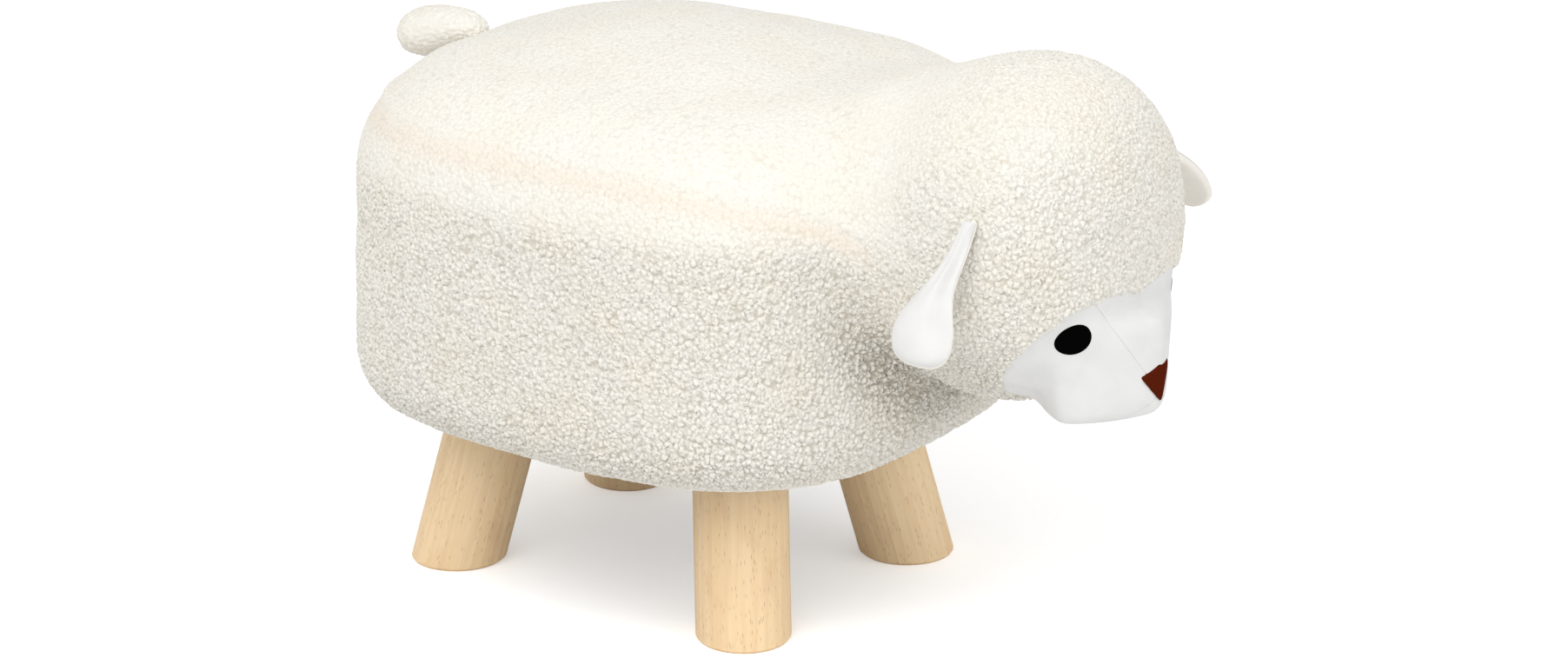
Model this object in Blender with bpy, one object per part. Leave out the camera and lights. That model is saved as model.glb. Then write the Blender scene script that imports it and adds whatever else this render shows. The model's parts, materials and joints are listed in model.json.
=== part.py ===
"""Footstool in the shape of a sheep, built as its separate pieces.

Two plywood boards on four posts make the frame. A fibreboard band, side foam and a thick
seat foam go round and over it, and a boucle cover is pulled down and stapled underneath.
Four round wooden legs turn onto the base board with hanger bolts and tee nuts. The stuffed
head, with its white face, is sewn to the front; ears and tail hang from their sewn roots.

Metres, +Z up, +X is the way the sheep looks, +Y is its left side.
"""
import math

import bmesh
import bpy
from mathutils import Vector

# Seat body
BODY_LENGTH = 0.332
BODY_WIDTH = 0.296
BODY_SQUARENESS = 2.95  # power of the rounded outline, 2 is an ellipse
BODY_UNDERSIDE_HEIGHT = 0.0925
SHOULDER_HEIGHT = 0.2815
SEAT_CROWN = 0.016
BOTTOM_EDGE_RADIUS = 0.0285
TOP_EDGE_RADIUS = 0.060
SIDE_DRAW_IN = 0.0023
RIM_SEAM_ANGLE = math.radians(30)

# Clearances
FIT_GAP = 0.0003
FACE_PANEL_GAP = 0.0006
PATCH_LIFT = 0.0009
CUT_OVERRUN = 0.002
SHARP_EDGE_ANGLE = math.radians(35)

# Cover and dust cover
COVER_THICKNESS = 0.004
HEM_WIDTH = 0.014
DUST_COVER_THICKNESS = 0.001
DUST_COVER_INSET = 0.036

# Foam, band, boards and posts
BAND_THICKNESS = 0.003
BASE_BOARD_THICKNESS = 0.015
SEAT_BOARD_THICKNESS = 0.012
SEAT_FOAM_THICKNESS = 0.066
POST_WIDTH = 0.036
POST_EDGE_MARGIN = 0.004

# Legs
LEG_RADIUS = 0.025
LEG_CHAMFER = 0.0015
LEG_SPLAY_FORWARD = math.radians(10.1)
LEG_SPLAY_SIDEWAYS = math.radians(11.9)
LEG_INSET_FROM_END = 0.087
LEG_INSET_FROM_SIDE = 0.0933
LEG_SET_BACK = 0.0052  # the seat sits this far ahead of the four feet

# Hanger bolts and tee nuts
BOLT_RADIUS = 0.004
BOLT_WOOD_RADIUS = 0.0037
BOLT_WOOD_LENGTH = 0.036
BOLT_TIP_LENGTH = 0.005
BOLT_END_PROUD = 0.002
TEE_NUT_WALL = 0.0013
TEE_NUT_BARREL_LENGTH = 0.009
TEE_NUT_FLANGE_RADIUS = 0.0115
TEE_NUT_FLANGE_THICKNESS = 0.0015

# Frame screws
SCREW_RADIUS = 0.002
SCREW_HEAD_RADIUS = 0.004
SCREW_HEAD_HEIGHT = 0.003
SCREW_LENGTH = 0.04
SCREW_TIP_LENGTH = 0.005
SCREW_STAGGER_SHARE = 0.22  # of the post's width, to either side for the screws from below and above

# Staples
STAPLE_COUNT = 8
STAPLE_CROWN = 0.0105
STAPLE_WIRE = 0.001
STAPLE_GRIP = 0.007
STAPLE_FIRST_ANGLE = math.radians(14)
STAPLE_LOOK_ASIDE = math.radians(1)  # step along the hem that gives a staple its direction

# Head, measured from the front of the body and from its shoulder
HEAD_FORWARD = 0.0638
HEAD_DROP = 0.0588
DOME_LENGTH = 0.1235
DOME_WIDTH = 0.167
DOME_HEIGHT = 0.160
DOME_BACK = 0.0135
DOME_RISE = 0.0057
DOME_POWER = 2.2
SNOUT_LENGTH = 0.061
SNOUT_WIDTH = 0.0832
SNOUT_HEIGHT = 0.0526
SNOUT_FORWARD = 0.0307
SNOUT_DROP = 0.0523
SNOUT_PLAN_POWER = 1.4
SNOUT_PROFILE_POWER = 7.4
THROAT_LENGTH = 0.1106
THROAT_WIDTH = 0.076
THROAT_HEIGHT = 0.065
THROAT_BACK = 0.0432
THROAT_DROP = 0.0324
THROAT_PLAN_POWER = 1.7
THROAT_PROFILE_POWER = 3.2
NECK_LENGTH = 0.12
NECK_WIDTH = 0.112
NECK_HEIGHT = 0.136
NECK_BACK = 0.052
NECK_RISE = 0.004
NECK_POWER = 2.5
LOBE_SHARPNESS = 8
LEAST_MEASURE = 0.001
HEAD_COVER_THICKNESS = 0.0045
FACE_THICKNESS = 0.0018

# Face outline: angles about the line that runs out through the nose
FACE_TILT = math.radians(47)
FACE_EDGE_ANGLE = math.radians(45.6)
FACE_EDGE_NARROWING_ABOVE = math.radians(8.2)
FACE_EDGE_NARROWING_ENDS = math.radians(9.8)
FOREHEAD_SEAM_ANGLE = math.radians(57)
CHIN_SEAM_ANGLE = math.radians(128)
NOSE_HOLE_SHARE = 0.05

# Eyes and nose
EYE_LENGTH = 0.0185
EYE_HEIGHT = 0.0145
EYE_THICKNESS = 0.0010
EYE_RIGHT_ANGLE = math.radians(48.3)
EYE_LEFT_ANGLE = math.radians(52.3)
EYE_DROP_ANGLE = math.radians(28)
EYE_TILT = math.radians(-3)
NOSE_WIDTH = 0.0256
NOSE_HEIGHT = 0.0150
NOSE_THICKNESS = 0.0015
NOSE_TOP_SHARE = 0.793
NOSE_CORNER_SHARE = 0.5
NOSE_TILT = math.radians(11)

# Ears, as shares of their length and width from the root to the tip
EAR_LENGTH = 0.0695
EAR_WIDTH = 0.037
EAR_ROOT_RADIUS = 0.0045
EAR_THICKNESS = 0.013
EAR_CUP_DEPTH = 0.005
EAR_EDGE = 0.0008
EAR_SEAM = 0.0004
EAR_ROOT_RISE_ANGLE = math.radians(18)
EAR_ROOT_FORWARD_ANGLE = math.radians(4)
EAR_RIGHT_DROOP = math.radians(25)
EAR_LEFT_DROOP = math.radians(50)
EAR_LENGTH_SHARES = (0.0, 0.14, 0.32, 0.46, 0.61, 0.74, 0.88, 0.96, 1.0)
EAR_BACK_SHARES = (0.10, 0.15, 0.29, 0.43, 0.63, 0.75, 0.73, 0.60, 0.38)
EAR_RIGHT_FRONT_SHARES = (0.09, 0.07, 0.03, 0.0, 0.09, 0.19, 0.20, 0.12, -0.06)
EAR_LEFT_FRONT_SHARES = (0.14, 0.36, 0.40, 0.38, 0.33, 0.25, 0.10, -0.03, -0.18)
EAR_BULK_SHARES = (0.0, 0.0, 0.2, 0.5, 0.9, 1.0, 0.8, 0.45, 0.1)

# Tail
TAIL_LENGTH = 0.052
TAIL_WIDTH = 0.034
TAIL_HEIGHT = 0.027
TAIL_ROOT_RADIUS = 0.0065
TAIL_OPENING_RADIUS = 0.0035
TAIL_COVER_THICKNESS = 0.003
TAIL_SEAT_ANGLE = math.radians(53)
TAIL_DROOP = math.radians(14)
TAIL_LENGTH_SHARES = (0.18, 0.36, 0.55, 0.74, 0.89, 0.97)
TAIL_BULK_SHARES = (0.62, 0.82, 0.97, 1.0, 0.80, 0.46)

# Steps round and along the pieces
PLAN_STEPS = 48
LEG_STEPS = 28
FASTENER_STEPS = 10
ARC_STEPS = 4
RIM_STEPS = 2
CROWN_SHARES = (0.86, 0.62, 0.32)
HEAD_BACK_STEPS = 12
FACE_RINGS = 5
FACE_SECTOR_STEPS = 8
EYE_STEPS = 18
NOSE_EDGE_STEPS = 5
PATCH_RING_SHARES = (1.0, 0.66, 0.33)
EAR_ARC_STEPS = 6
KNUCKLE_STEPS = 3
TAIL_STEPS = 16
SEARCH_STEPS = 26

# Worked out from the sizes above
HALF_LENGTH = BODY_LENGTH / 2
HALF_WIDTH = BODY_WIDTH / 2
BASE_BOTTOM = BODY_UNDERSIDE_HEIGHT + COVER_THICKNESS + FIT_GAP
BASE_TOP = BASE_BOTTOM + BASE_BOARD_THICKNESS
SEAT_BOARD_TOP = SHOULDER_HEIGHT - SEAT_FOAM_THICKNESS
SEAT_BOARD_BOTTOM = SEAT_BOARD_TOP - SEAT_BOARD_THICKNESS
BAND_INSET = BOTTOM_EDGE_RADIUS + FIT_GAP
BOARD_INSET = BAND_INSET + BAND_THICKNESS + FIT_GAP
LEG_SEAT_X = HALF_LENGTH - LEG_INSET_FROM_END
LEG_SEAT_Y = HALF_WIDTH - LEG_INSET_FROM_SIDE
LEG_TOP = BASE_BOTTOM - FIT_GAP
DUST_COVER_TOP = BODY_UNDERSIDE_HEIGHT - FIT_GAP
DUST_COVER_BOTTOM = DUST_COVER_TOP - DUST_COVER_THICKNESS
HEAD_CENTRE = Vector((HALF_LENGTH + HEAD_FORWARD, 0, SHOULDER_HEIGHT - HEAD_DROP))
HEAD_SEARCH_REACH = NECK_BACK + NECK_LENGTH
CORNERS = (("front_right", 1, -1), ("front_left", 1, 1), ("rear_right", -1, -1), ("rear_left", -1, 1))
FACE_SECTORS = (("face_forehead", -FOREHEAD_SEAM_ANGLE, FOREHEAD_SEAM_ANGLE),
                ("face_cheek_left", FOREHEAD_SEAM_ANGLE, CHIN_SEAM_ANGLE),
                ("face_chin", CHIN_SEAM_ANGLE, math.tau - CHIN_SEAM_ANGLE),
                ("face_cheek_right", math.tau - CHIN_SEAM_ANGLE, math.tau - FOREHEAD_SEAM_ANGLE))
SIDES = (("front", 1, 0), ("rear", -1, 0), ("left", 0, 1), ("right", 0, -1))

# A lobe of the head: centre, half sizes, power seen from above, power seen from the side
HEAD_LOBES = (
    ((-DOME_BACK, 0, DOME_RISE), (DOME_LENGTH / 2, DOME_WIDTH / 2, DOME_HEIGHT / 2),
     DOME_POWER, DOME_POWER),
    ((SNOUT_FORWARD, 0, -SNOUT_DROP), (SNOUT_LENGTH / 2, SNOUT_WIDTH / 2, SNOUT_HEIGHT / 2),
     SNOUT_PLAN_POWER, SNOUT_PROFILE_POWER),
    ((-NECK_BACK, 0, NECK_RISE), (NECK_LENGTH / 2, NECK_WIDTH / 2, NECK_HEIGHT / 2),
     NECK_POWER, NECK_POWER),
    ((-THROAT_BACK, 0, -THROAT_DROP), (THROAT_LENGTH / 2, THROAT_WIDTH / 2, THROAT_HEIGHT / 2),
     THROAT_PLAN_POWER, THROAT_PROFILE_POWER),
)

MATERIALS = {
    "boucle": ((0.86, 0.83, 0.77), 0.95, 0.0),
    "face_plush": ((0.82, 0.82, 0.81), 0.9, 0.0),
    "ear_plush": ((0.88, 0.88, 0.87), 0.9, 0.0),
    "nose_felt": ((0.10, 0.016, 0.006), 0.8, 0.0),
    "eye_thread": ((0.006, 0.006, 0.006), 0.5, 0.0),
    "rubberwood": ((0.80, 0.58, 0.36), 0.6, 0.0),
    "plywood": ((0.62, 0.44, 0.27), 0.7, 0.0),
    "fibreboard": ((0.35, 0.24, 0.15), 0.8, 0.0),
    "foam": ((0.85, 0.80, 0.55), 0.95, 0.0),
    "filling": ((0.9, 0.9, 0.9), 1.0, 0.0),
    "lining": ((0.03, 0.03, 0.03), 0.9, 0.0),
    "zinc_steel": ((0.62, 0.62, 0.60), 0.35, 1.0),
}


def clear_scene():
    for old in list(bpy.data.objects):
        bpy.data.objects.remove(old, do_unlink=True)


def material(name):
    found = bpy.data.materials.get(name)
    if found:
        return found
    colour, roughness, metallic = MATERIALS[name]
    made = bpy.data.materials.new(name)
    made.use_nodes = True
    shader = made.node_tree.nodes["Principled BSDF"]
    shader.inputs["Base Color"].default_value = (*colour, 1)
    shader.inputs["Roughness"].default_value = roughness
    shader.inputs["Metallic"].default_value = metallic
    return made


def add_empty(name, parent=None, location=(0, 0, 0), rotation=(0, 0, 0)):
    empty = bpy.data.objects.new(name, None)
    bpy.context.collection.objects.link(empty)
    empty.parent = parent
    empty.location = location
    empty.rotation_euler = rotation
    return empty


def add_piece(name, shape, material_name, parent, location=(0, 0, 0), rotation=(0, 0, 0)):
    """Turn a bmesh into a named object, with round faces smooth and real edges sharp."""
    bmesh.ops.recalc_face_normals(shape, faces=shape.faces)
    mesh = bpy.data.meshes.new(name)
    shape.to_mesh(mesh)
    shape.free()
    mesh.shade_smooth()
    mesh.set_sharp_from_angle(angle=SHARP_EDGE_ANGLE)
    mesh.materials.append(material(material_name))
    piece = bpy.data.objects.new(name, mesh)
    bpy.context.collection.objects.link(piece)
    piece.parent = parent
    piece.location = location
    piece.rotation_euler = rotation
    return piece


def add_cutter(name, shape, parent, location=(0, 0, 0), rotation=(0, 0, 0)):
    cutter = add_piece(name, shape, "zinc_steel", parent, location, rotation)
    cutter.hide_render = True
    cutter.display_type = "WIRE"
    return cutter


def cut(piece, *cutters):
    for cutter in cutters:
        modifier = piece.modifiers.new("cut " + cutter.name, "BOOLEAN")
        modifier.operation = "DIFFERENCE"
        modifier.solver = "EXACT"
        modifier.object = cutter


def join_shapes(shapes):
    """Put several closed shapes, which don't touch, into one bmesh for a single cutter."""
    joined = bmesh.new()
    for shape in shapes:
        moved = bpy.data.meshes.new("part of a cutter")
        shape.to_mesh(moved)
        shape.free()
        joined.from_mesh(moved)
        bpy.data.meshes.remove(moved)
    return joined


def skin_rings(rings, closed=False):
    """Join rings of points by faces. A ring of one point is a pole, and open ends get a cap."""
    shape = bmesh.new()
    rows = [[shape.verts.new(point) for point in ring] for ring in rings]
    pairs = list(zip(rows, rows[1:]))
    if closed:
        pairs.append((rows[-1], rows[0]))
    for low, high in pairs:
        count = max(len(low), len(high))
        for step in range(count):
            after = (step + 1) % count
            if len(low) == 1:
                shape.faces.new((low[0], high[after], high[step]))
            elif len(high) == 1:
                shape.faces.new((low[step], low[after], high[0]))
            else:
                shape.faces.new((low[step], low[after], high[after], high[step]))
    if not closed:
        for row in (rows[0], rows[-1]):
            if len(row) > 1:
                shape.faces.new(row)
    return shape


def split_quads(shape):
    """Split each four-sided face the same way, so that thin layers one over another stay apart."""
    bmesh.ops.triangulate(shape, faces=shape.faces, quad_method="FIXED")
    return shape


def turned(profile, steps, centre=(0, 0, 0)):
    """Turn a profile of (radius, height) points round a vertical line through the centre."""
    rings = []
    for radius, height in profile:
        if radius == 0:
            rings.append([Vector(centre) + Vector((0, 0, height))])
            continue
        turns = (math.tau * step / steps for step in range(steps))
        rings.append([Vector(centre) + Vector((radius * math.cos(turn), radius * math.sin(turn), height))
                      for turn in turns])
    return skin_rings(rings)


def block(low, high):
    """A plain block between two corners."""
    rings = [[(low[0], low[1], z), (high[0], low[1], z), (high[0], high[1], z), (low[0], high[1], z)]
             for z in (low[2], high[2])]
    return skin_rings(rings)


# The seat body's outline and skin

def plan_point(turn, inset, height, share=1.0):
    across = math.cos(turn) / (HALF_LENGTH - inset)
    along = math.sin(turn) / (HALF_WIDTH - inset)
    reach = (abs(across) ** BODY_SQUARENESS + abs(along) ** BODY_SQUARENESS) ** (-1 / BODY_SQUARENESS)
    return Vector((reach * share * math.cos(turn), reach * share * math.sin(turn), height))


def plan_ring(inset, height, share=1.0):
    return [plan_point(math.tau * step / PLAN_STEPS, inset, height, share) for step in range(PLAN_STEPS)]


def bottom_arc(depth):
    """Insets and heights round the lower edge, for a layer that lies depth under the skin."""
    radius = BOTTOM_EDGE_RADIUS - depth
    turns = [math.pi / 2 * step / ARC_STEPS for step in range(ARC_STEPS + 1)]
    centre = BODY_UNDERSIDE_HEIGHT + BOTTOM_EDGE_RADIUS
    return [(BOTTOM_EDGE_RADIUS - radius * math.sin(turn), centre - radius * math.cos(turn), 1.0)
            for turn in turns]


def top_arc(depth, start, end, steps):
    """Insets and heights round the upper edge, for a layer that lies depth under the skin."""
    radius = TOP_EDGE_RADIUS - depth
    turns = [start + (end - start) * step / steps for step in range(steps + 1)]
    inset = TOP_EDGE_RADIUS + SIDE_DRAW_IN
    centre = SHOULDER_HEIGHT - TOP_EDGE_RADIUS
    return [(inset - radius * math.cos(turn), centre + radius * math.sin(turn), 1.0) for turn in turns]


def rim_arc(depth):
    """The upper edge as far as the rim seam."""
    return top_arc(depth, 0, RIM_SEAM_ANGLE, RIM_STEPS)


def shoulder_arc(depth, past_seam=0.0):
    """The upper edge from the rim seam, or a small angle past it, to the seat."""
    return top_arc(depth, RIM_SEAM_ANGLE + past_seam, math.pi / 2, ARC_STEPS)


def crown(depth):
    """The rise from the shoulder to the middle of the seat."""
    inset = TOP_EDGE_RADIUS + SIDE_DRAW_IN
    return [(inset, SHOULDER_HEIGHT - depth + SEAT_CROWN * (1 - share ** 2), share)
            for share in CROWN_SHARES]


def rings_of(stations):
    return [plan_ring(inset, height, share) for inset, height, share in stations]


def seat_middle(depth):
    return [Vector((0, 0, SHOULDER_HEIGHT - depth + SEAT_CROWN))]


def side_inset_at(height, depth):
    """How far the skin's layer lies inside the outline at a height on its straight side."""
    low = BODY_UNDERSIDE_HEIGHT + BOTTOM_EDGE_RADIUS
    high = SHOULDER_HEIGHT - TOP_EDGE_RADIUS
    share = min(max((height - low) / (high - low), 0.0), 1.0)
    return depth + SIDE_DRAW_IN * share


def body_cutter(parent):
    """The whole body, a gap larger all round, which the head is cut by."""
    stations = (bottom_arc(-FIT_GAP) + rim_arc(-FIT_GAP) + shoulder_arc(-FIT_GAP)[1:]
                + crown(-FIT_GAP))
    rings = rings_of(stations) + [seat_middle(-FIT_GAP)]
    return add_cutter("body_cutter", skin_rings(rings), parent)


def leg_seat(forward, sideways, height=0.0):
    return Vector((forward * LEG_SEAT_X - LEG_SET_BACK, sideways * LEG_SEAT_Y, height))


def leg_slant(forward, sideways):
    return Vector((-forward * math.tan(LEG_SPLAY_FORWARD), -sideways * math.tan(LEG_SPLAY_SIDEWAYS), 1))


def leg_ring(forward, sideways, height, radius):
    """The level section of a round leg that leans outwards to its foot."""
    slant = leg_slant(forward, sideways)
    middle = leg_seat(forward, sideways, LEG_TOP) + slant * (height - LEG_TOP)
    side = slant.cross(Vector((0, 1, 0))).normalized()
    other = slant.cross(side).normalized()
    ring = []
    for step in range(LEG_STEPS):
        turn = math.tau * step / LEG_STEPS
        offset = radius * (math.cos(turn) * side + math.sin(turn) * other)
        ring.append(middle + offset - slant * offset.z)
    return ring


def leg_shape(forward, sideways, bottom, top, radius, chamfer):
    heights = ((bottom, radius - chamfer), (bottom + chamfer, radius), (top - chamfer, radius),
               (top, radius - chamfer))
    return skin_rings([leg_ring(forward, sideways, height, size) for height, size in heights])


def leg_clearance(forward, sideways):
    rings = [leg_ring(forward, sideways, height, LEG_RADIUS + FIT_GAP)
             for height in (DUST_COVER_BOTTOM - CUT_OVERRUN, BASE_BOTTOM - FIT_GAP / 2)]
    return skin_rings(rings)


def make_legs(parent):
    wood_radius = BOLT_WOOD_RADIUS + FIT_GAP
    for name, forward, sideways in CORNERS:
        seat = leg_seat(forward, sideways)
        leg = add_piece("leg_" + name, leg_shape(forward, sideways, 0, LEG_TOP, LEG_RADIUS, LEG_CHAMFER),
                        "rubberwood", parent)
        pilot = turned([(0, LEG_TOP - BOLT_WOOD_LENGTH - CUT_OVERRUN),
                        (wood_radius, LEG_TOP - BOLT_WOOD_LENGTH + BOLT_TIP_LENGTH),
                        (wood_radius, LEG_TOP + CUT_OVERRUN), (0, LEG_TOP + CUT_OVERRUN)],
                       FASTENER_STEPS, seat)
        cut(leg, add_cutter("pilot_cutter_" + name, pilot, parent))


def make_bolts_and_nuts(parent):
    nut_bore = BOLT_RADIUS + FIT_GAP
    nut_radius = nut_bore + TEE_NUT_WALL
    flange_bottom = BASE_TOP + FIT_GAP
    flange_top = flange_bottom + TEE_NUT_FLANGE_THICKNESS
    bolt_top = flange_top + BOLT_END_PROUD
    for name, forward, sideways in CORNERS:
        seat = leg_seat(forward, sideways)
        wood_end = LEG_TOP - BOLT_WOOD_LENGTH
        bolt = turned([(0, wood_end), (BOLT_WOOD_RADIUS, wood_end + BOLT_TIP_LENGTH),
                       (BOLT_WOOD_RADIUS, LEG_TOP), (BOLT_RADIUS, BASE_BOTTOM),
                       (BOLT_RADIUS, bolt_top), (0, bolt_top)], FASTENER_STEPS, seat)
        add_piece("hanger_bolt_" + name, bolt, "zinc_steel", parent)
        barrel_bottom = BASE_TOP - TEE_NUT_BARREL_LENGTH
        outer = [(nut_bore, flange_top), (TEE_NUT_FLANGE_RADIUS, flange_top),
                 (TEE_NUT_FLANGE_RADIUS, flange_bottom), (nut_radius, flange_bottom),
                 (nut_radius, barrel_bottom), (nut_bore, barrel_bottom)]
        rings = [[Vector(seat) + Vector((radius * math.cos(math.tau * step / FASTENER_STEPS),
                                         radius * math.sin(math.tau * step / FASTENER_STEPS), height))
                  for step in range(FASTENER_STEPS)] for radius, height in outer]
        add_piece("tee_nut_" + name, skin_rings(rings, closed=True), "zinc_steel", parent)


def post_centre(along, across):
    reach_x = HALF_LENGTH - BOARD_INSET - POST_EDGE_MARGIN - POST_WIDTH / 2
    reach_y = HALF_WIDTH - BOARD_INSET - POST_EDGE_MARGIN - POST_WIDTH / 2
    return Vector((along * reach_x, across * reach_y, 0))


def screw_profile(face, inward, grow=0.0):
    """A countersunk screw from a face, drawn from the head to the tip. Inward is +1 for up."""
    tip = SCREW_LENGTH + grow
    return [(0, face - inward * grow), (SCREW_HEAD_RADIUS + grow, face - inward * grow),
            (SCREW_RADIUS + grow, face + inward * SCREW_HEAD_HEIGHT),
            (SCREW_RADIUS + grow, face + inward * (tip - SCREW_TIP_LENGTH)), (0, face + inward * tip)]


def make_frame(parent):
    holes_below = []
    holes_above = []
    low_face = BASE_BOTTOM
    high_face = SEAT_BOARD_TOP
    for name, along, across in SIDES:
        middle = post_centre(along, across)
        half = Vector((POST_WIDTH / 2, POST_WIDTH / 2, 0))
        low = middle - half + Vector((0, 0, BASE_TOP + FIT_GAP))
        high = middle + half + Vector((0, 0, SEAT_BOARD_BOTTOM - FIT_GAP))
        post = add_piece("frame_post_" + name, block(low, high), "plywood", parent)
        aside = Vector((-across, along, 0)) * POST_WIDTH * SCREW_STAGGER_SHARE
        for label, face, inward in (("base", low_face, 1), ("seat", high_face, -1)):
            spot = middle + aside * inward
            shape = turned(screw_profile(face, inward), FASTENER_STEPS, spot)
            add_piece(label + "_screw_" + name, shape, "zinc_steel", parent)
            hole = turned(screw_profile(face, inward, FIT_GAP), FASTENER_STEPS, spot)
            cut(post, add_cutter(label + "_screw_cutter_" + name, hole, parent))
            again = turned(screw_profile(face, inward, FIT_GAP), FASTENER_STEPS, spot)
            (holes_below if inward > 0 else holes_above).append(again)
    nut_hole = BOLT_RADIUS + FIT_GAP + TEE_NUT_WALL + FIT_GAP
    for name, forward, sideways in CORNERS:
        seat = leg_seat(forward, sideways)
        holes_below.append(turned([(0, BASE_BOTTOM - CUT_OVERRUN), (nut_hole, BASE_BOTTOM - CUT_OVERRUN),
                                   (nut_hole, BASE_TOP + CUT_OVERRUN), (0, BASE_TOP + CUT_OVERRUN)],
                                  FASTENER_STEPS, seat))
    holes_below.extend(staple_shape(turn, FIT_GAP) for turn in staple_turns())
    base = skin_rings([plan_ring(BOARD_INSET, height) for height in (BASE_BOTTOM, BASE_TOP)])
    seat = skin_rings([plan_ring(BOARD_INSET, height)
                       for height in (SEAT_BOARD_BOTTOM, SEAT_BOARD_TOP)])
    cut(add_piece("base_board", base, "plywood", parent),
        add_cutter("base_board_cutter", join_shapes(holes_below), parent))
    cut(add_piece("seat_board", seat, "plywood", parent),
        add_cutter("seat_board_cutter", join_shapes(holes_above), parent))
    band = [plan_ring(inset, height)
            for inset, height in ((BAND_INSET, BASE_BOTTOM), (BAND_INSET, SEAT_BOARD_TOP),
                                  (BAND_INSET + BAND_THICKNESS, SEAT_BOARD_TOP),
                                  (BAND_INSET + BAND_THICKNESS, BASE_BOTTOM))]
    add_piece("side_band", skin_rings(band, closed=True), "fibreboard", parent)


def make_foam(parent):
    depth = COVER_THICKNESS + FIT_GAP
    wall = BAND_INSET - FIT_GAP
    outside = bottom_arc(depth)[1:] + [(side_inset_at(SEAT_BOARD_TOP, depth), SEAT_BOARD_TOP, 1.0)]
    low = outside[0][1]
    rings = rings_of(outside + [(wall, SEAT_BOARD_TOP, 1.0), (wall, low, 1.0)])
    add_piece("side_foam", skin_rings(rings, closed=True), "foam", parent)
    bottom = SEAT_BOARD_TOP + FIT_GAP
    stations = ([(side_inset_at(bottom, depth), bottom, 1.0)] + rim_arc(depth) + shoulder_arc(depth)[1:]
                + crown(depth))
    rings = rings_of(stations) + [seat_middle(depth)]
    add_piece("seat_foam", skin_rings(rings), "foam", parent)


def make_cover(parent):
    hem_edge = BOTTOM_EDGE_RADIUS + HEM_WIDTH
    seam_gap = FIT_GAP / TOP_EDGE_RADIUS
    outside = [(hem_edge, BODY_UNDERSIDE_HEIGHT, 1.0)] + bottom_arc(0) + rim_arc(0)
    inside = ([(hem_edge, BODY_UNDERSIDE_HEIGHT + COVER_THICKNESS, 1.0)] + bottom_arc(COVER_THICKNESS)
              + rim_arc(COVER_THICKNESS))
    side_shape = skin_rings(rings_of(outside + inside[::-1]), closed=True)
    side = add_piece("cover_side", side_shape, "boucle", parent)
    legs = join_shapes([leg_clearance(forward, sideways) for name, forward, sideways in CORNERS])
    staples = join_shapes([staple_shape(turn, FIT_GAP) for turn in staple_turns()])
    leg_cutter = add_cutter("leg_clearance_cutter", legs, parent)
    staple_cutter = add_cutter("staple_cutter", staples, parent)
    cut(side, staple_cutter)
    outside = rings_of(shoulder_arc(0, seam_gap) + crown(0))
    inside = rings_of(shoulder_arc(COVER_THICKNESS, seam_gap) + crown(COVER_THICKNESS))
    rings = outside + [seat_middle(0)]
    inner = [seat_middle(COVER_THICKNESS)] + inside[::-1]
    add_piece("cover_top", shell_of_rings(rings, inner), "boucle", parent)
    dust = skin_rings([plan_ring(DUST_COVER_INSET, height)
                       for height in (DUST_COVER_BOTTOM, DUST_COVER_TOP)])
    cut(add_piece("dust_cover", dust, "lining", parent), leg_cutter, staple_cutter)


def shell_of_rings(outer, inner):
    """A shell whose outer and inner skins each end in a pole, joined at their first and last rings."""
    shape = bmesh.new()
    rows_out = [[shape.verts.new(point) for point in ring] for ring in outer]
    rows_in = [[shape.verts.new(point) for point in ring] for ring in inner[::-1]]
    count = len(rows_out[0])
    for rows in (rows_out, rows_in):
        for low, high in zip(rows, rows[1:]):
            for step in range(count):
                after = (step + 1) % count
                if len(high) == 1:
                    shape.faces.new((low[step], low[after], high[0]))
                else:
                    shape.faces.new((low[step], low[after], high[after], high[step]))
    for step in range(count):
        after = (step + 1) % count
        shape.faces.new((rows_in[0][step], rows_in[0][after], rows_out[0][after], rows_out[0][step]))
    return shape


# Staples

def staple_turns():
    return [STAPLE_FIRST_ANGLE + math.tau * step / STAPLE_COUNT for step in range(STAPLE_COUNT)]


def staple_shape(turn, grow=0.0):
    """A U of flat wire through dust cover, hem and board, its crown underneath."""
    inset = BOTTOM_EDGE_RADIUS + HEM_WIDTH / 2
    middle = plan_point(turn, inset, 0)
    beside = plan_point(turn + STAPLE_LOOK_ASIDE, inset, 0) - plan_point(turn - STAPLE_LOOK_ASIDE, inset, 0)
    along = beside.normalized()
    across = Vector((-along.y, along.x, 0))
    half_wire = STAPLE_WIRE / 2 + grow
    reach = STAPLE_CROWN / 2
    crown_top = DUST_COVER_BOTTOM - FIT_GAP + grow
    crown_bottom = DUST_COVER_BOTTOM - FIT_GAP - STAPLE_WIRE - grow
    prong_top = BASE_BOTTOM + STAPLE_GRIP + grow
    outline = [(-reach - half_wire, crown_bottom), (reach + half_wire, crown_bottom),
               (reach + half_wire, prong_top), (reach - half_wire, prong_top),
               (reach - half_wire, crown_top), (-reach + half_wire, crown_top),
               (-reach + half_wire, prong_top), (-reach - half_wire, prong_top)]
    rings = [[middle + along * sideways + across * offset + Vector((0, 0, height))
              for sideways, height in outline] for offset in (-half_wire, half_wire)]
    return skin_rings(rings)


def make_staples(parent):
    for number, turn in enumerate(staple_turns(), 1):
        add_piece(f"staple_{number}", staple_shape(turn), "zinc_steel", parent)


# The head's form, in a frame of its own with the origin in the middle of the head

def lobe_measure(point, lobe):
    """Below 1 inside the lobe, 1 on its skin, above 1 outside."""
    centre, half, plan_power, profile_power = lobe
    x, y, z = (abs((value - middle) / size) for value, middle, size in zip(point, centre, half))
    plan = (x ** plan_power + y ** plan_power) ** (profile_power / plan_power)
    return max((plan + z ** profile_power) ** (1 / profile_power), LEAST_MEASURE)


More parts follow.
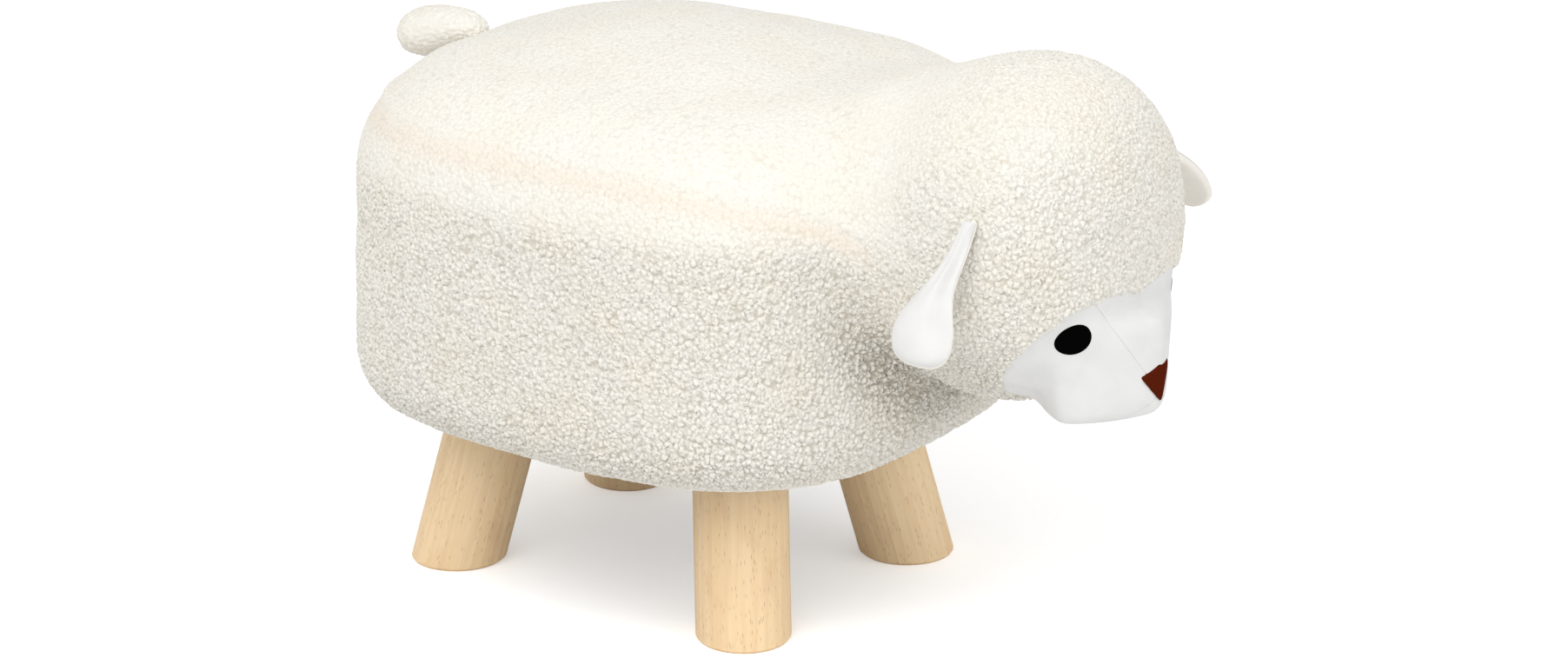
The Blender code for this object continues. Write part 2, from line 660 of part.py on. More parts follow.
def head_reach(direction):
    """Distance from the middle of the head to its skin, where the blended lobes measure 1."""
    near, far = 0.0, HEAD_SEARCH_REACH
    for step in range(SEARCH_STEPS):
        middle = (near + far) / 2
        point = direction * middle
        total = sum(lobe_measure(point, lobe) ** -LOBE_SHARPNESS for lobe in HEAD_LOBES)
        if total > 1:
            near = middle
        else:
            far = middle
    return near


def face_direction(polar, turn):
    """A direction by its angle from the nose line, and its turn from the forehead round it."""
    out = Vector((math.cos(FACE_TILT), 0, -math.sin(FACE_TILT)))
    above = Vector((math.sin(FACE_TILT), 0, math.cos(FACE_TILT)))
    left = Vector((0, 1, 0))
    around = above * math.cos(turn) + left * math.sin(turn)
    return out * math.cos(polar) + around * math.sin(polar)


def face_edge(turn):
    """The angle from the nose line at which the boucle takes over from the face."""
    return (FACE_EDGE_ANGLE - FACE_EDGE_NARROWING_ABOVE * math.cos(turn)
            - FACE_EDGE_NARROWING_ENDS * math.cos(2 * turn))


def head_point(polar, turn, lift):
    direction = face_direction(polar, turn)
    return direction * (head_reach(direction) + lift)


def sector_turns(start, end):
    return [start + (end - start) * step / FACE_SECTOR_STEPS for step in range(FACE_SECTOR_STEPS + 1)]


def head_turns():
    """The turns of all sectors, so that filling, face and cover have their facets in line."""
    return [turn for name, start, end in FACE_SECTORS for turn in sector_turns(start, end)[:-1]]


def face_share(row):
    return NOSE_HOLE_SHARE + (1 - NOSE_HOLE_SHARE) * row / FACE_RINGS


def back_rings(lift, first_row=0):
    """Rings from the edge of the face round the back of the head, and the pole that ends them."""
    rings = []
    for row in range(first_row, HEAD_BACK_STEPS):
        share = row / HEAD_BACK_STEPS
        rings.append([head_point(face_edge(turn) + (math.pi - face_edge(turn)) * share, turn, lift)
                      for turn in head_turns()])
    return rings + [[head_point(math.pi, 0, lift)]]


def make_head_filling(parent, cutter):
    rings = [[head_point(0, 0, 0)]]
    for row in range(FACE_RINGS + 1):
        rings.append([head_point(face_edge(turn) * face_share(row), turn, 0) for turn in head_turns()])
    shape = split_quads(skin_rings(rings + back_rings(0, 1)))
    cut(add_piece("head_filling", shape, "filling", parent), cutter)


def make_head_cover(parent, cutter):
    shell = shell_of_rings(back_rings(HEAD_COVER_THICKNESS), back_rings(PATCH_LIFT)[::-1])
    cut(add_piece("head_cover", split_quads(shell), "boucle", parent), cutter)


def patch_shell(grid_out, grid_in):
    """A curved plate from two grids of points with the same rows and columns."""
    shape = bmesh.new()
    outs = [[shape.verts.new(point) for point in row] for row in grid_out]
    ins = [[shape.verts.new(point) for point in row] for row in grid_in]
    last_row, last = len(outs) - 1, len(outs[0]) - 1
    for row in range(last_row):
        for column in range(last):
            for skin in (outs, ins):
                shape.faces.new((skin[row][column], skin[row][column + 1],
                                 skin[row + 1][column + 1], skin[row + 1][column]))
    for row in range(last_row):
        for column in (0, last):
            shape.faces.new((outs[row][column], outs[row + 1][column],
                             ins[row + 1][column], ins[row][column]))
    for column in range(last):
        for row in (0, last_row):
            shape.faces.new((outs[row][column], outs[row][column + 1],
                             ins[row][column + 1], ins[row][column]))
    return shape


def make_face_panels(parent):
    """Forehead, two cheeks and chin, sewn along seams that run out from the nose."""
    edge_gap = FACE_PANEL_GAP / (DOME_LENGTH / 2)
    for name, start, end in FACE_SECTORS:
        grids = []
        for lift in (PATCH_LIFT + FACE_THICKNESS, PATCH_LIFT):
            grid = []
            for row in range(FACE_RINGS + 1):
                line = []
                for turn in sector_turns(start, end):
                    polar = face_edge(turn) * face_share(row) - (edge_gap if row == FACE_RINGS else 0)
                    seam = FIT_GAP / (DOME_LENGTH / 2 * math.sin(polar))
                    inward = (start + end - turn - turn) / (end - start)
                    line.append(head_point(polar, turn + seam * inward, lift))
                grid.append(line)
            grids.append(grid)
        add_piece(name, split_quads(patch_shell(*grids)), "face_plush", parent)


def surface_patch(direction, outline, thickness):
    """A thin plate on the face, from an outline drawn flat on the skin's tangent."""
    sideways = Vector((0, 0, 1)).cross(direction).normalized()
    upward = direction.cross(sideways).normalized()
    reach = head_reach(direction)
    base = PATCH_LIFT + FACE_THICKNESS + PATCH_LIFT

    def ring(share, lift):
        points = []
        for across, along in outline:
            aim = (direction * reach + sideways * across * share + upward * along * share).normalized()
            points.append(aim * (head_reach(aim) + lift))
        return points

    top = [ring(share, base + thickness) for share in PATCH_RING_SHARES]
    low = [ring(share, base) for share in PATCH_RING_SHARES]
    rings = [[direction * (reach + base)]] + low[::-1] + top + [[direction * (reach + base + thickness)]]
    return skin_rings(rings)


def tilted(across, along, tilt):
    return (across * math.cos(tilt) - along * math.sin(tilt),
            across * math.sin(tilt) + along * math.cos(tilt))


def make_eyes_and_nose(parent):
    for name, side, turned in (("right", -1, EYE_RIGHT_ANGLE), ("left", 1, EYE_LEFT_ANGLE)):
        aim = Vector((math.cos(turned) * math.cos(EYE_DROP_ANGLE),
                      side * math.sin(turned) * math.cos(EYE_DROP_ANGLE),
                      -math.sin(EYE_DROP_ANGLE)))
        outline = []
        for step in range(EYE_STEPS):
            turn = math.tau * step / EYE_STEPS
            outline.append(tilted(EYE_LENGTH / 2 * math.cos(turn), EYE_HEIGHT / 2 * math.sin(turn),
                                  side * -EYE_TILT))
        add_piece("eye_" + name, surface_patch(aim, outline, EYE_THICKNESS), "eye_thread", parent)
    corner = (NOSE_WIDTH / 2, NOSE_HEIGHT * NOSE_CORNER_SHARE)
    crown = (0, NOSE_HEIGHT * NOSE_TOP_SHARE)
    point = (0, -NOSE_HEIGHT * (1 - NOSE_TOP_SHARE))
    marks = (corner, crown, (-corner[0], corner[1]), point)
    outline = []
    for first, second in zip(marks, marks[1:] + marks[:1]):
        for step in range(NOSE_EDGE_STEPS):
            share = step / NOSE_EDGE_STEPS
            outline.append(tilted(first[0] + (second[0] - first[0]) * share,
                                  first[1] + (second[1] - first[1]) * share, NOSE_TILT))
    aim = face_direction(0, 0)
    add_piece("nose", surface_patch(aim, outline, NOSE_THICKNESS), "nose_felt", parent)


# Ears

def ear_station(side, layer, drop, back, front, bulk):
    """One ring across an ear layer. Layer is +1 for the outer leaf and -1 for the lining."""
    half = EAR_ROOT_RADIUS + (EAR_THICKNESS / 2 - EAR_ROOT_RADIUS) * bulk
    return ear_ring(side, layer, -drop, back, front, half, EAR_CUP_DEPTH * bulk)


def ear_ring(side, layer, height, back, front, half, cup):
    outer, inner = [], []
    for step in range(EAR_ARC_STEPS + 1):
        across = -1 + 2 * step / EAR_ARC_STEPS
        x = -back + (back + front) * (across + 1) / 2
        middle = cup * (1 - across ** 2)
        seam = layer * EAR_SEAM / 2
        rise = EAR_EDGE + (half - EAR_EDGE) * math.sqrt(max(1 - across ** 2, 0.0))
        outer.append(Vector((x, side * (middle + layer * rise + seam), height)))
        inner.append(Vector((x, side * (middle + seam), height)))
    return outer + inner[::-1]


def ear_layer(side, layer, front_shares):
    rings = []
    root_back = EAR_WIDTH * EAR_BACK_SHARES[0]
    root_front = EAR_WIDTH * front_shares[0]
    for step in range(KNUCKLE_STEPS, 0, -1):
        turn = math.pi / 2 * step / (KNUCKLE_STEPS + 1)
        half = EAR_ROOT_RADIUS * math.cos(turn)
        height = EAR_ROOT_RADIUS * math.sin(turn)
        rings.append(ear_ring(side, layer, height, root_back, root_front, half, 0))
    stations = zip(EAR_LENGTH_SHARES, EAR_BACK_SHARES, front_shares, EAR_BULK_SHARES)
    for length, back, front, bulk in stations:
        rings.append(ear_station(side, layer, EAR_LENGTH * length, EAR_WIDTH * back,
                                 EAR_WIDTH * front, bulk))
    return skin_rings(rings)


def make_ears(parent):
    for name, side, droop, fronts in (("right", -1, EAR_RIGHT_DROOP, EAR_RIGHT_FRONT_SHARES),
                                      ("left", 1, EAR_LEFT_DROOP, EAR_LEFT_FRONT_SHARES)):
        level = Vector((math.sin(EAR_ROOT_FORWARD_ANGLE), side * math.cos(EAR_ROOT_FORWARD_ANGLE), 0))
        aim = level * math.cos(EAR_ROOT_RISE_ANGLE) + Vector((0, 0, math.sin(EAR_ROOT_RISE_ANGLE)))
        seat = aim * (head_reach(aim) + HEAD_COVER_THICKNESS + FIT_GAP + EAR_ROOT_RADIUS + EAR_SEAM)
        hinge = add_empty("ear_hinge_" + name, parent, seat, (side * droop, 0, 0))
        add_piece("ear_" + name, ear_layer(side, 1, fronts), "ear_plush", hinge)
        add_piece("ear_lining_" + name, ear_layer(side, -1, fronts), "ear_plush", hinge)


# Tail

def tail_rings(depth):
    """Rings from the open root to the tip, for a skin that lies depth inside the tail."""
    rings = []
    opening = TAIL_OPENING_RADIUS - depth
    start = math.acos(min(opening / (TAIL_ROOT_RADIUS - depth), 1.0))
    for step in range(KNUCKLE_STEPS + 1):
        turn = start * (1 - step / KNUCKLE_STEPS)
        radius = (TAIL_ROOT_RADIUS - depth) * math.cos(turn)
        rings.append(tail_ring((TAIL_ROOT_RADIUS - depth) * math.sin(turn), radius, radius))
    for length, bulk in zip(TAIL_LENGTH_SHARES, TAIL_BULK_SHARES):
        wide = max(TAIL_WIDTH / 2 * bulk - depth, FIT_GAP)
        high = max(TAIL_HEIGHT / 2 * bulk - depth, FIT_GAP)
        rings.append(tail_ring(-(TAIL_LENGTH - depth) * length, wide, high))
    rings.append([Vector((-(TAIL_LENGTH - depth), 0, 0))])
    return rings


def tail_ring(x, wide, high):
    turns = [math.tau * step / TAIL_STEPS for step in range(TAIL_STEPS)]
    return [Vector((x, wide * math.cos(turn), high * math.sin(turn))) for turn in turns]


def make_tail(parent):
    turn = TAIL_SEAT_ANGLE
    normal = Vector((-math.cos(turn), 0, math.sin(turn)))
    middle = Vector((-(HALF_LENGTH - SIDE_DRAW_IN - TOP_EDGE_RADIUS), 0, SHOULDER_HEIGHT - TOP_EDGE_RADIUS))
    seat = middle + normal * (TOP_EDGE_RADIUS + FIT_GAP + TAIL_ROOT_RADIUS)
    hinge = add_empty("tail_hinge", parent, seat, (0, -TAIL_DROOP, 0))
    cover = shell_of_rings(tail_rings(0), tail_rings(TAIL_COVER_THICKNESS)[::-1])
    add_piece("tail_cover", cover, "boucle", hinge)
    filling = tail_rings(TAIL_COVER_THICKNESS + FIT_GAP)
    add_piece("tail_filling", skin_rings(filling), "filling", hinge)


def stand_on_origin(root):
    """Move the whole stool so that the middle of its box's underside is at the origin."""
    bpy.context.view_layer.update()
    view = bpy.context.evaluated_depsgraph_get()
    corners = []
    for piece in bpy.data.objects:
        if piece.type != "MESH" or piece.hide_render:
            continue
        mesh = piece.evaluated_get(view).to_mesh()
        corners.extend(piece.matrix_world @ vertex.co for vertex in mesh.vertices)
    low = Vector([min(corner[axis] for corner in corners) for axis in range(3)])
    high = Vector([max(corner[axis] for corner in corners) for axis in range(3)])
    root.location = (-(low.x + high.x) / 2, -(low.y + high.y) / 2, -low.z)
    bpy.context.view_layer.update()
    print("box of the whole stool:", [round(value, 4) for value in high - low])


def main():
    clear_scene()
    root = add_empty("stool")
    make_legs(root)
    make_bolts_and_nuts(root)
    make_frame(root)
    make_foam(root)
    make_cover(root)
    make_staples(root)
    head = add_empty("head", root, HEAD_CENTRE)
    cutter = body_cutter(root)
    make_head_filling(head, cutter)
    make_head_cover(head, cutter)
    make_face_panels(head)
    make_eyes_and_nose(head)
    make_ears(head)
    make_tail(root)
    stand_on_origin(root)
    for empty in bpy.data.objects:
        if empty.type == "EMPTY":
            print(empty.name, [round(value, 5) for value in empty.matrix_world.translation])


main()
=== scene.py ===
# %% [markdown]
# # Dressing a sheep footstool
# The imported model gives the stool's hard facts: the boards, the legs, the joints and where every
# piece lies. This lesson gives it its looks. The order is that of a workshop: first the frame is
# set on the bench, then camera and light, then the wool, the face, the ears and tail, the wood,
# and last the small parts underneath.

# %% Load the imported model
import json
import math

import bmesh
import bpy
import numpy as np
from mathutils import Matrix, Vector, noise


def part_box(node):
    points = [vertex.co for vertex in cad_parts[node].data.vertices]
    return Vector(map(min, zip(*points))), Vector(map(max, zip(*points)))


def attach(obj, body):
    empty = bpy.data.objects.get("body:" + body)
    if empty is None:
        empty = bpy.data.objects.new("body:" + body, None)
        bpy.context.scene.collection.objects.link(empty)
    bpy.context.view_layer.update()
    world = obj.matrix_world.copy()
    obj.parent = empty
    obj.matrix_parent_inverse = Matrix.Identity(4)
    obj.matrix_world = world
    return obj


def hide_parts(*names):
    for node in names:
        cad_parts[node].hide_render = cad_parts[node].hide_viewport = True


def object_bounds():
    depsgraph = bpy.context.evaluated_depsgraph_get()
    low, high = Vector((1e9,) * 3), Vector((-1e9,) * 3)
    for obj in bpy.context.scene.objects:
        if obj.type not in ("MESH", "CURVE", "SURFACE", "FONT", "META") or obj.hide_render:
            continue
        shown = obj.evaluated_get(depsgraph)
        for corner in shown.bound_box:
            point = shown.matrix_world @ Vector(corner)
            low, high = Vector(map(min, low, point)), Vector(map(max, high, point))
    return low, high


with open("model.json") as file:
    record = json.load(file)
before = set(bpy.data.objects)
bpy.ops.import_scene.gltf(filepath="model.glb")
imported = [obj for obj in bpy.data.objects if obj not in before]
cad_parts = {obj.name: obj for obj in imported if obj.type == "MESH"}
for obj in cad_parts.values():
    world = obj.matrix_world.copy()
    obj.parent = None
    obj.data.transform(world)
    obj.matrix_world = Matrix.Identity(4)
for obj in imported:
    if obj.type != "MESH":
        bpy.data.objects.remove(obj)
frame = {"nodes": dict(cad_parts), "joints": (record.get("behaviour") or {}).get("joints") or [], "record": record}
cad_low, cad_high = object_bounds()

# %% [markdown]
# ## The measures that shape the soft parts
# A cushion is a rounded outline with arcs above and below. The outline here is a superellipse,
# the curve between an oval and a rectangle: one power says how square it is. Its length, width and
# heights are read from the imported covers, so only the radii and the power are written down.

# %% Seat body measures
SQUARENESS = 2.95
SEAT_CROWN = 0.016
BOTTOM_RADIUS = 0.0285
TOP_RADIUS = 0.060
DRAW_IN = 0.0023
RIM_TURN = math.radians(30)
HEM_WIDTH = 0.014

side_low, side_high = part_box("cover_side")
top_low, top_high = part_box("cover_top")
HALF_LENGTH = (side_high.x - side_low.x) / 2
HALF_WIDTH = (side_high.y - side_low.y) / 2
BODY_X = (side_high.x + side_low.x) / 2
UNDERSIDE = side_low.z
SHOULDER = top_high.z - SEAT_CROWN
RIM_HEIGHT = SHOULDER - TOP_RADIUS * (1 - math.sin(RIM_TURN))
print("seat body", round(HALF_LENGTH * 2, 4), "by", round(HALF_WIDTH * 2, 4))
print("rim at", round(RIM_HEIGHT, 4))

# %% [markdown]
# The head is a dome, a snout, a neck and a throat that flow into each other. Each is a lobe with its own
# half sizes and powers, and the skin is where their blended measure is 1. The face is turned down
# by the tilt, and its edge, where the wool begins, is an angle about the line out through the nose.

# %% Head measures
HEAD_AHEAD = 0.0638
HEAD_DROP = 0.0588
HEAD = np.array((BODY_X + HALF_LENGTH + HEAD_AHEAD, 0.0, SHOULDER - HEAD_DROP))
LOBES = (
    ((-0.0135, 0.0, 0.0057), (0.06175, 0.0835, 0.080), 2.2, 2.2),
    ((0.0307, 0.0, -0.0523), (0.0305, 0.0416, 0.0263), 1.4, 7.4),
    ((-0.052, 0.0, 0.006), (0.06, 0.056, 0.066), 2.5, 2.5),
    ((-0.0432, 0.0, -0.0324), (0.0553, 0.038, 0.0325), 1.7, 3.2),
)
LOBE_SHARPNESS = 8
LEAST = 0.001
SEARCH_REACH = 0.172
SEARCH_STEPS = 30
WOOL_ON_HEAD = 0.0045
FACE_LIFT = 0.0027
FACE_TILT = math.radians(47)
FACE_EDGE = math.radians(45.6)
FACE_NARROWER_ABOVE = math.radians(8.2)
FACE_NARROWER_ENDS = math.radians(9.8)
FOREHEAD_SEAM = math.radians(57)
CHIN_SEAM = math.radians(128)


def halved(inside, low, high, steps):
    """The furthest place that is still inside, by halving the interval again and again."""
    for step in range(steps):
        middle = (low + high) / 2
        hit = inside(middle)
        low, high = np.where(hit, middle, low), np.where(hit, high, middle)
    return low


def head_measure(x, y, z):
    """Below 0 inside the head and above 0 outside. The place is counted from the head's middle."""
    total = 0
    for centre, half, plan_power, profile_power in LOBES:
        across, along, up = (np.abs(value - middle) / size
                             for value, middle, size in zip((x, y, z), centre, half))
        plan = (across ** plan_power + along ** plan_power) ** (profile_power / plan_power)
        measure = (plan + up ** profile_power) ** (1 / profile_power)
        total = total + np.maximum(measure, LEAST) ** -LOBE_SHARPNESS
    return total ** (-1 / LOBE_SHARPNESS) - 1


def head_reach(directions):
    """Distances from the middle of the head to its skin."""
    return halved(lambda reach: head_measure(*(directions * reach[:, None]).T) < 0,
                  np.zeros(len(directions)), np.full(len(directions), SEARCH_REACH), SEARCH_STEPS)


def face_edge(turn):
    return FACE_EDGE - FACE_NARROWER_ABOVE * np.cos(turn) - FACE_NARROWER_ENDS * np.cos(2 * turn)


NOSE_LINE = np.array((math.cos(FACE_TILT), 0.0, -math.sin(FACE_TILT)))
ABOVE_NOSE = np.array((math.sin(FACE_TILT), 0.0, math.cos(FACE_TILT)))
TO_THE_LEFT = np.array((0.0, 1.0, 0.0))


def face_directions(polar, turn):
    """Directions by their angle from the nose line, and their turn from the forehead round it."""
    around = np.cos(turn)[..., None] * ABOVE_NOSE + np.sin(turn)[..., None] * TO_THE_LEFT
    return np.cos(polar)[..., None] * NOSE_LINE + np.sin(polar)[..., None] * around


def face_angles(directions):
    polar = np.arccos(np.clip(directions @ NOSE_LINE, -1, 1))
    return polar, np.arctan2(directions @ TO_THE_LEFT, directions @ ABOVE_NOSE)


print("head centre", HEAD.round(4), "snout reaches", round(float(head_reach(NOSE_LINE[None])[0]), 4), "m")

# %% [markdown]
# ## Camera
# The photograph looks at the sheep's right side from ahead and a little above. The stool's scale
# and perspective give the lens, the distance and the two angles. The four feet are the fixed
# points, so the camera is placed from the middle of the feet.

# %% Camera
VIEW_TURN = math.radians(35.908)
VIEW_ELEVATION = math.radians(18.844)
VIEW_DISTANCE = 2.35
AIM_FROM_FEET = Vector((0.06777, 0.0, 0.14203))
SENSOR = 36.0
LENS = 102.58

LEGS = [f"leg_{end}_{hand}" for end in ("front", "rear") for hand in ("right", "left")]
leg_boxes = [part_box(leg) for leg in LEGS]
feet_x = sum((low.x + high.x) / 2 for low, high in leg_boxes) / len(leg_boxes)
aim = AIM_FROM_FEET + Vector((feet_x, 0, 0))
back = Vector((math.sin(VIEW_TURN) * math.cos(VIEW_ELEVATION),
               -math.cos(VIEW_TURN) * math.cos(VIEW_ELEVATION), math.sin(VIEW_ELEVATION)))
camera = bpy.data.objects.new("camera", bpy.data.cameras.new("camera"))
bpy.context.collection.objects.link(camera)
camera.data.lens = LENS
camera.data.sensor_width = SENSOR
camera.location = aim + back * VIEW_DISTANCE
camera.rotation_euler = (-back).to_track_quat("-Z", "Y").to_euler()
bpy.context.scene.camera = camera
print("camera at", [round(value, 4) for value in camera.location])

# %% [markdown]
# ## Nodes
# A material, and the sky as well, is a small network of nodes. One helper adds a node, sets its
# fields and fills its inputs, either with a value or with a link from another node. The others add
# the kinds of node that come up often, so that each finish further on reads like a recipe.

# %% Node helper
def new_material(name, colour, roughness, **sockets):
    made = bpy.data.materials.new(name)
    made.use_nodes = True
    shader = made.node_tree.nodes["Principled BSDF"]
    shader.inputs["Base Color"].default_value = (*colour, 1)
    shader.inputs["Roughness"].default_value = roughness
    for key, value in sockets.items():
        shader.inputs[key.replace("_", " ")].default_value = value
    return made, shader


def add_node(finish, kind, inputs=None, **settings):
    made = finish.node_tree.nodes.new("ShaderNode" + kind)
    for key, value in settings.items():
        setattr(made, key, value)
    for key, value in (inputs or {}).items():
        if isinstance(value, bpy.types.NodeSocket):
            finish.node_tree.links.new(value, made.inputs[key])
        else:
            made.inputs[key].default_value = value
    return made


def colour_mix(finish, factor, first, second, blend="MIX"):
    """A Mix node for colours. First and second are colours or sockets."""
    made = add_node(finish, "Mix", {"Factor": factor}, data_type="RGBA", blend_type=blend)
    for place, value in ((6, first), (7, second)):
        if isinstance(value, bpy.types.NodeSocket):
            finish.node_tree.links.new(value, made.inputs[place])
        else:
            made.inputs[place].default_value = (*value, 1)
    return made.outputs[2]


def ramp(finish, value, low, high):
    """Spread the range between low and high over 0 to 1."""
    return add_node(finish, "MapRange", {"Value": value, "From Min": low, "From Max": high}).outputs[0]


def bump(finish, shader, *layers):
    """Lay bumps over one another. A layer is a height socket, its depth in metres and its strength."""
    normal = None
    for height, depth, strength in layers:
        inputs = {"Height": height, "Distance": depth, "Strength": strength}
        if normal:
            inputs["Normal"] = normal
        normal = add_node(finish, "Bump", inputs).outputs["Normal"]
    feed(finish, shader, "Normal", normal)


def place_of(finish):
    return add_node(finish, "TexCoord").outputs["Object"]


def maths(finish, operation, *values):
    return add_node(finish, "Math", dict(enumerate(values)), operation=operation).outputs[0]


def stretched(finish, place, factors):
    """A small factor draws the marks of a pattern out along its axis."""
    return add_node(finish, "VectorMath", {0: place, 1: factors}, operation="MULTIPLY").outputs[0]


def mottle(finish, place, per_metre, detail, **more):
    inputs = {"Vector": place, "Scale": per_metre, "Detail": detail, **more}
    return add_node(finish, "TexNoise", inputs).outputs[0]


def feed(finish, shader, key, socket):
    finish.node_tree.links.new(socket, shader.inputs[key])


print("node helpers ready")

# %% [markdown]
# ## Light, floor and backdrop
# White wool on white needs soft light from all around, with a little more from above and from the
# left, so that the curls throw small shadows and the right side of each leg turns darker. The
# world is a bright dome, one large lamp is the key and a second one fills. The floor is white, and
# a touch of its own light, which only the camera sees, takes it to paper white and keeps the shadow.

# %% Light
DOME_LIGHT = 0.65
KEY_POWER = 18.5
FILL_POWER = 10.0
KEY_SIZE = 1.3
FILL_SIZE = 1.6

side_of_view = Vector((math.cos(VIEW_TURN), math.sin(VIEW_TURN), 0))
toward_view = Vector((back.x, back.y, 0)).normalized()


def add_lamp(name, power, size, across, ahead, height):
    lamp = bpy.data.lights.new(name, "AREA")
    lamp.energy = power
    lamp.size = size
    made = bpy.data.objects.new(name, lamp)
    bpy.context.collection.objects.link(made)
    made.location = aim + side_of_view * across + toward_view * ahead + Vector((0, 0, height))
    made.rotation_euler = (made.location - aim).to_track_quat("Z", "Y").to_euler()
    return made


add_lamp("key_light", KEY_POWER, KEY_SIZE, -0.6, 1.1, 1.5)
add_lamp("fill_light", FILL_POWER, FILL_SIZE, 1.6, 1.1, 0.8)

world = bpy.data.worlds.new("studio")
bpy.context.scene.world = world
world.use_nodes = True
sky = world.node_tree.nodes["Background"]
sky.inputs["Color"].default_value = (1, 1, 1, 1)
sky.inputs["Strength"].default_value = DOME_LIGHT
seen_sky = add_node(world, "Background", {"Color": (1, 1, 1, 1)})
rays = add_node(world, "LightPath").outputs
seen = maths(world, "MAXIMUM", rays["Is Camera Ray"], rays["Is Glossy Ray"])
choose = add_node(world, "MixShader", {"Fac": seen, 1: sky.outputs[0], 2: seen_sky.outputs[0]})
feed(world, world.node_tree.nodes["World Output"], "Surface", choose.outputs[0])

bpy.context.scene.view_settings.view_transform = "Standard"
print("lamps", KEY_POWER, FILL_POWER, "W, dome", DOME_LIGHT)

# %% Floor
FLOOR_SIZE = 14.0
FLOOR_GLOW = 0.38

floor_mesh = bpy.data.meshes.new("floor")
half_floor = FLOOR_SIZE / 2
floor_mesh.from_pydata([(-half_floor, -half_floor, 0), (half_floor, -half_floor, 0),
                        (half_floor, half_floor, 0), (-half_floor, half_floor, 0)], [], [(0, 1, 2, 3)])
floor = bpy.data.objects.new("floor", floor_mesh)
bpy.context.collection.objects.link(floor)
paper, paper_shader = new_material("floor_paper", (0.93, 0.93, 0.93), 0.9, Specular_IOR_Level=0.1)
glow = maths(paper, "MULTIPLY", add_node(paper, "LightPath").outputs["Is Camera Ray"], FLOOR_GLOW)
paper_shader.inputs["Emission Color"].default_value = (1, 1, 1, 1)
feed(paper, paper_shader, "Emission Strength", glow)
floor_mesh.materials.append(paper)
print("floor", FLOOR_SIZE, "m square")

# %% [markdown]
# ## The wool skin
# The photograph shows one coat of boucle over the seat, the neck and the head, with no line where
# the head begins: the fabric rolls over the top of the neck and folds deep beside it. Two meshes
# stuck together would leave a crease all round. Distances blend better: for any point, one function
# says how far it lies outside the seat body, and another how far outside the head. The coat is
# where a smooth minimum of the two is zero, with a wide blend on top and a tight one at the fold.

# %% Distance to the seat body
INSET_STEPS = 24
CROWN_BLEND = 0.5
DEEPEST_INSET = 0.98
EDGE_INSET = TOP_RADIUS + DRAW_IN
SIDE_BOTTOM = UNDERSIDE + BOTTOM_RADIUS
SIDE_TOP = SHOULDER - TOP_RADIUS


def ring_measure(x, y, inset):
    """Below 1 inside the body's outline once it is drawn in by the inset, above 1 outside."""
    across = np.abs(x - BODY_X) / (HALF_LENGTH - inset)
    along = np.abs(y) / (HALF_WIDTH - inset)
    return (across ** SQUARENESS + along ** SQUARENESS) ** (1 / SQUARENESS)


def inset_of(x, y):
    """How far inside the body's outline a point lies."""
    return halved(lambda inset: ring_measure(x, y, inset) < 1, np.full(x.shape, -HALF_WIDTH),
                  np.full(x.shape, HALF_WIDTH * DEEPEST_INSET), INSET_STEPS)


def rounded_ramp(value, width):
    """Zero below minus the width, the value itself above the width, and a smooth bend between."""
    bend = (value + width) ** 2 / (4 * width)
    return np.where(value > width, value, np.where(value < -width, 0, bend))


def body_gap(x, y, z):
    inset = inset_of(x, y)
    above, below = z - SIDE_TOP, SIDE_BOTTOM - z
    swell = SEAT_CROWN * rounded_ramp(1 - ring_measure(x, y, EDGE_INSET) ** 2, CROWN_BLEND)
    edge = np.clip(EDGE_INSET - inset, 0, None)
    upper = np.hypot(edge, above - swell) - TOP_RADIUS
    lower = np.where(inset < BOTTOM_RADIUS, np.hypot(BOTTOM_RADIUS - inset, below), below) - BOTTOM_RADIUS
    side = DRAW_IN * np.clip((z - SIDE_BOTTOM) / (SIDE_TOP - SIDE_BOTTOM), 0, 1) - inset
    return np.where(above > 0, upper, np.where(below > 0, lower, side))


mid_side = np.array([[BODY_X], [HALF_WIDTH], [(SIDE_BOTTOM + SIDE_TOP) / 2]])
print("middle of the side lies", body_gap(*mid_side)[0].round(4), "m outside")

# %% Distance to the head
PROBE = 0.0005


def head_gap(x, y, z):
    """The measure grows faster on a small lobe than on a large one, so its slope evens it out."""
    def at(*step):
        moved = (value + more - middle for value, more, middle in zip((x, y, z), step, HEAD))
        return head_measure(*moved)

    here = at(0, 0, 0)
    slopes = [at(PROBE, 0, 0) - here, at(0, PROBE, 0) - here, at(0, 0, PROBE) - here]
    slope = np.sqrt(sum(one ** 2 for one in slopes)) / PROBE
    return here / np.maximum(slope, 1) - WOOL_ON_HEAD


snout_tip = HEAD + NOSE_LINE * head_reach(NOSE_LINE[None])
print("snout tip lies", head_gap(*snout_tip[:, None])[0].round(4), "m outside")

# %% Blend the two distances on a grid
VOXEL = 0.003
GRID_MARGIN = 0.012
BLEND_ON_TOP = 0.042
BLEND_BELOW = 0.024
BLEND_HEIGHTS = (0.158, 0.222)
FOLD_HEIGHTS = (0.155, 0.196)


def smooth_step(value, low, high):
    share = np.clip((value - low) / (high - low), 0, 1)
    return share * share * (3 - 2 * share)


def coat_gap(to_body, to_head, z):
    """The smooth minimum of both distances. Its reach says how wide the blend is."""
    reach = BLEND_BELOW + (BLEND_ON_TOP - BLEND_BELOW) * smooth_step(z, *BLEND_HEIGHTS)
    share = np.clip(0.5 + 0.5 * (to_body - to_head) / reach, 0, 1)
    return to_body * (1 - share) + to_head * share - reach * share * (1 - share)


